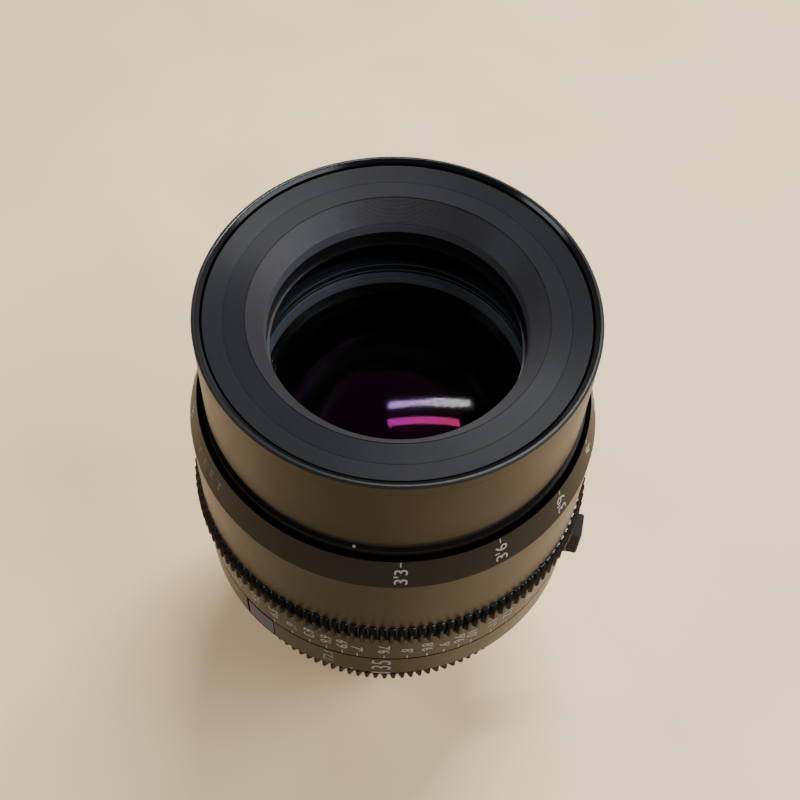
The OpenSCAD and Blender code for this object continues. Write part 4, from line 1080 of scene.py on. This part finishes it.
# %% Finishes of the remaining solids
taken_over("lens_mount", "mount", "barrel", mount_steel, "mount_steel")
# The sleeve takes the dead black: painted shade, as it sits in the gap under the front barrel.
taken_over("guide_sleeve", "sleeve", "barrel", painted_gap_shade)
taken_over("support_foot", "foot", "barrel", foot_black)
blades = [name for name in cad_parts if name.startswith("iris_blade")]
PLAIN_SOLIDS = [
    (brass, ["mount_shim", "focus_nut"]),
    (dark_steel, ["mount_screws", "sleeve_screws", "focus_stop", "focus_keys", "iris_fork", "iris_cam"]),
    (inner_black, ["rear_baffle", "optical_barrel", "second_retainer", "doublet_retainer", "iris_housing",
                   "rear_cell", "inner_retainer", "rear_retainer", "element_spacer"]),
    (glass_inner, ["fifth_element", "sixth_element", "seventh_element"]),
    (scale_black, ["front_bearing"]),
    (blade_steel, blades),
]
for finish, names in PLAIN_SOLIDS:
    for name in names:
        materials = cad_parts[name].data.materials
        materials.clear()
        materials.append(finish)
print("dressed solids", sum(len(names) for finish, names in PLAIN_SOLIDS))

# %% [markdown]
# The floor is a plain pale surface. It is large and slightly warm, because dark satin metal
# shows mostly what it mirrors.

# %% Floor
FLOOR_HALF = 3.0
FLOOR_CLOUD_MM = 60.0
FLOOR_ROUGHNESS = 0.6
FLOOR_SIGNS = ((-1, -1), (1, -1), (1, 1), (-1, 1))
floor_corners = [(x * FLOOR_HALF, y * FLOOR_HALF, FLOOR_Z * MM) for x, y in FLOOR_SIGNS]
floor_mesh = bpy.data.meshes.new("floor")
floor_mesh.from_pydata(floor_corners, [], [(0, 1, 2, 3)])
floor_pale, nodes, shader, place = new_finish("floor_pale")
cloud = grain(nodes, place, FLOOR_CLOUD_MM, CLOUD_DETAIL)
colour_by(nodes, cloud, shader, dark=(0.80, 0.56, 0.31), light=(0.84, 0.60, 0.34))
shader.inputs["Roughness"].default_value = FLOOR_ROUGHNESS
floor_mesh.materials.append(floor_pale)
floor = linked("floor", floor_mesh)
print("floor at", FLOOR_Z, "mm")

# %% [markdown]
# The room is dark overhead and brighter low down, most of all to the right of the lens, as by a
# row of windows. So the glass stays black in the middle, and one side of the cone is lighter
# than the other. The background reads its own direction and mixes the two.

# %% Room light
OVERHEAD = 0.1
WINDOWS = 2.2
BRIGHT_SIDE = (0.30, 0.12, 0.0)
SIDE_MIDDLE = 0.5
DARK_ABOVE = 0.85
BRIGHT_BELOW = 0.35
SKY = (0.98, 0.98, 1.0, 1.0)


def room_light():
    room = bpy.data.worlds.new("room")
    room.use_nodes = True
    make = room.node_tree.nodes.new
    background = room.node_tree.nodes["Background"]
    direction = make("ShaderNodeTexCoord")
    split = make("ShaderNodeSeparateXYZ")
    low = make("ShaderNodeMapRange")
    low.interpolation_type = "SMOOTHSTEP"
    low.inputs["From Min"].default_value = DARK_ABOVE
    low.inputs["From Max"].default_value = BRIGHT_BELOW
    side = make("ShaderNodeVectorMath")
    side.operation = "DOT_PRODUCT"
    side.inputs[1].default_value = BRIGHT_SIDE
    middle = make("ShaderNodeMath")
    middle.operation = "ADD"
    middle.inputs[1].default_value = SIDE_MIDDLE
    both = make("ShaderNodeMath")
    both.operation = "MULTIPLY"
    strength = make("ShaderNodeMapRange")
    strength.inputs["To Min"].default_value = OVERHEAD
    strength.inputs["To Max"].default_value = WINDOWS
    join(direction, "Generated", split, 0)
    join(split, "Z", low, "Value")
    join(direction, "Generated", side, 0)
    join(side, "Value", middle, 0)
    join(middle, 0, both, 0)
    join(low, "Result", both, 1)
    join(both, 0, strength, "Value")
    join(strength, "Result", background, "Strength")
    background.inputs["Color"].default_value = SKY
    return room


bpy.context.scene.world = room_light()
print("room light from", OVERHEAD, "to", WINDOWS)

# %% [markdown]
# A long lamp above is the main light. It stands where the front glass mirrors it into the
# camera: it draws a violet line on the front surface and a magenta one on the element behind
# it, and it throws a short soft shadow to the near left. A panel at each side stands where the
# bevel of the rim mirrors it.

# %% Lamps
def panel(name, place, target, along, size, power, colour=(1.0, 1.0, 1.0)):
    data = bpy.data.lights.new(name, "AREA")
    data.shape = "RECTANGLE"
    data.size, data.size_y = size
    data.energy = power
    data.color = colour
    lamp = linked(name, data)
    back = (Vector(place) - Vector(target)).normalized()
    side = Vector(along)
    side = (side - back * side.dot(back)).normalized()
    axes = Matrix((side, back.cross(side), back)).transposed()
    lamp.matrix_world = Matrix.Translation(place) @ axes.to_4x4()


glass_middle = (0.009, -0.008, front_z * MM)
lamp_left = Vector((-0.023, 0.312, 0.956))
lamp_right = Vector((0.381, 0.372, 0.845))
lamp_middle = (lamp_left + lamp_right) / 2
lamp_length = (lamp_right - lamp_left).length
LAMP_WIDTH = 0.042
panel("long_lamp", lamp_middle, glass_middle, lamp_right - lamp_left, size=(lamp_length, LAMP_WIDTH),
      power=12.0)
cool = (0.84, 0.92, 1.0)
rim_middle = (0.0, 0.0, 0.14)
panel("right_panel", (0.70, -0.18, 1.00), rim_middle, along=(0.449, 0.636, -0.248), size=(0.82, 0.3),
      power=11.0, colour=cool)
panel("left_panel", (-0.82, -0.05, 0.953), rim_middle, along=(-0.151, 0.341, -0.134), size=(0.4, 0.15),
      power=3.0, colour=cool)
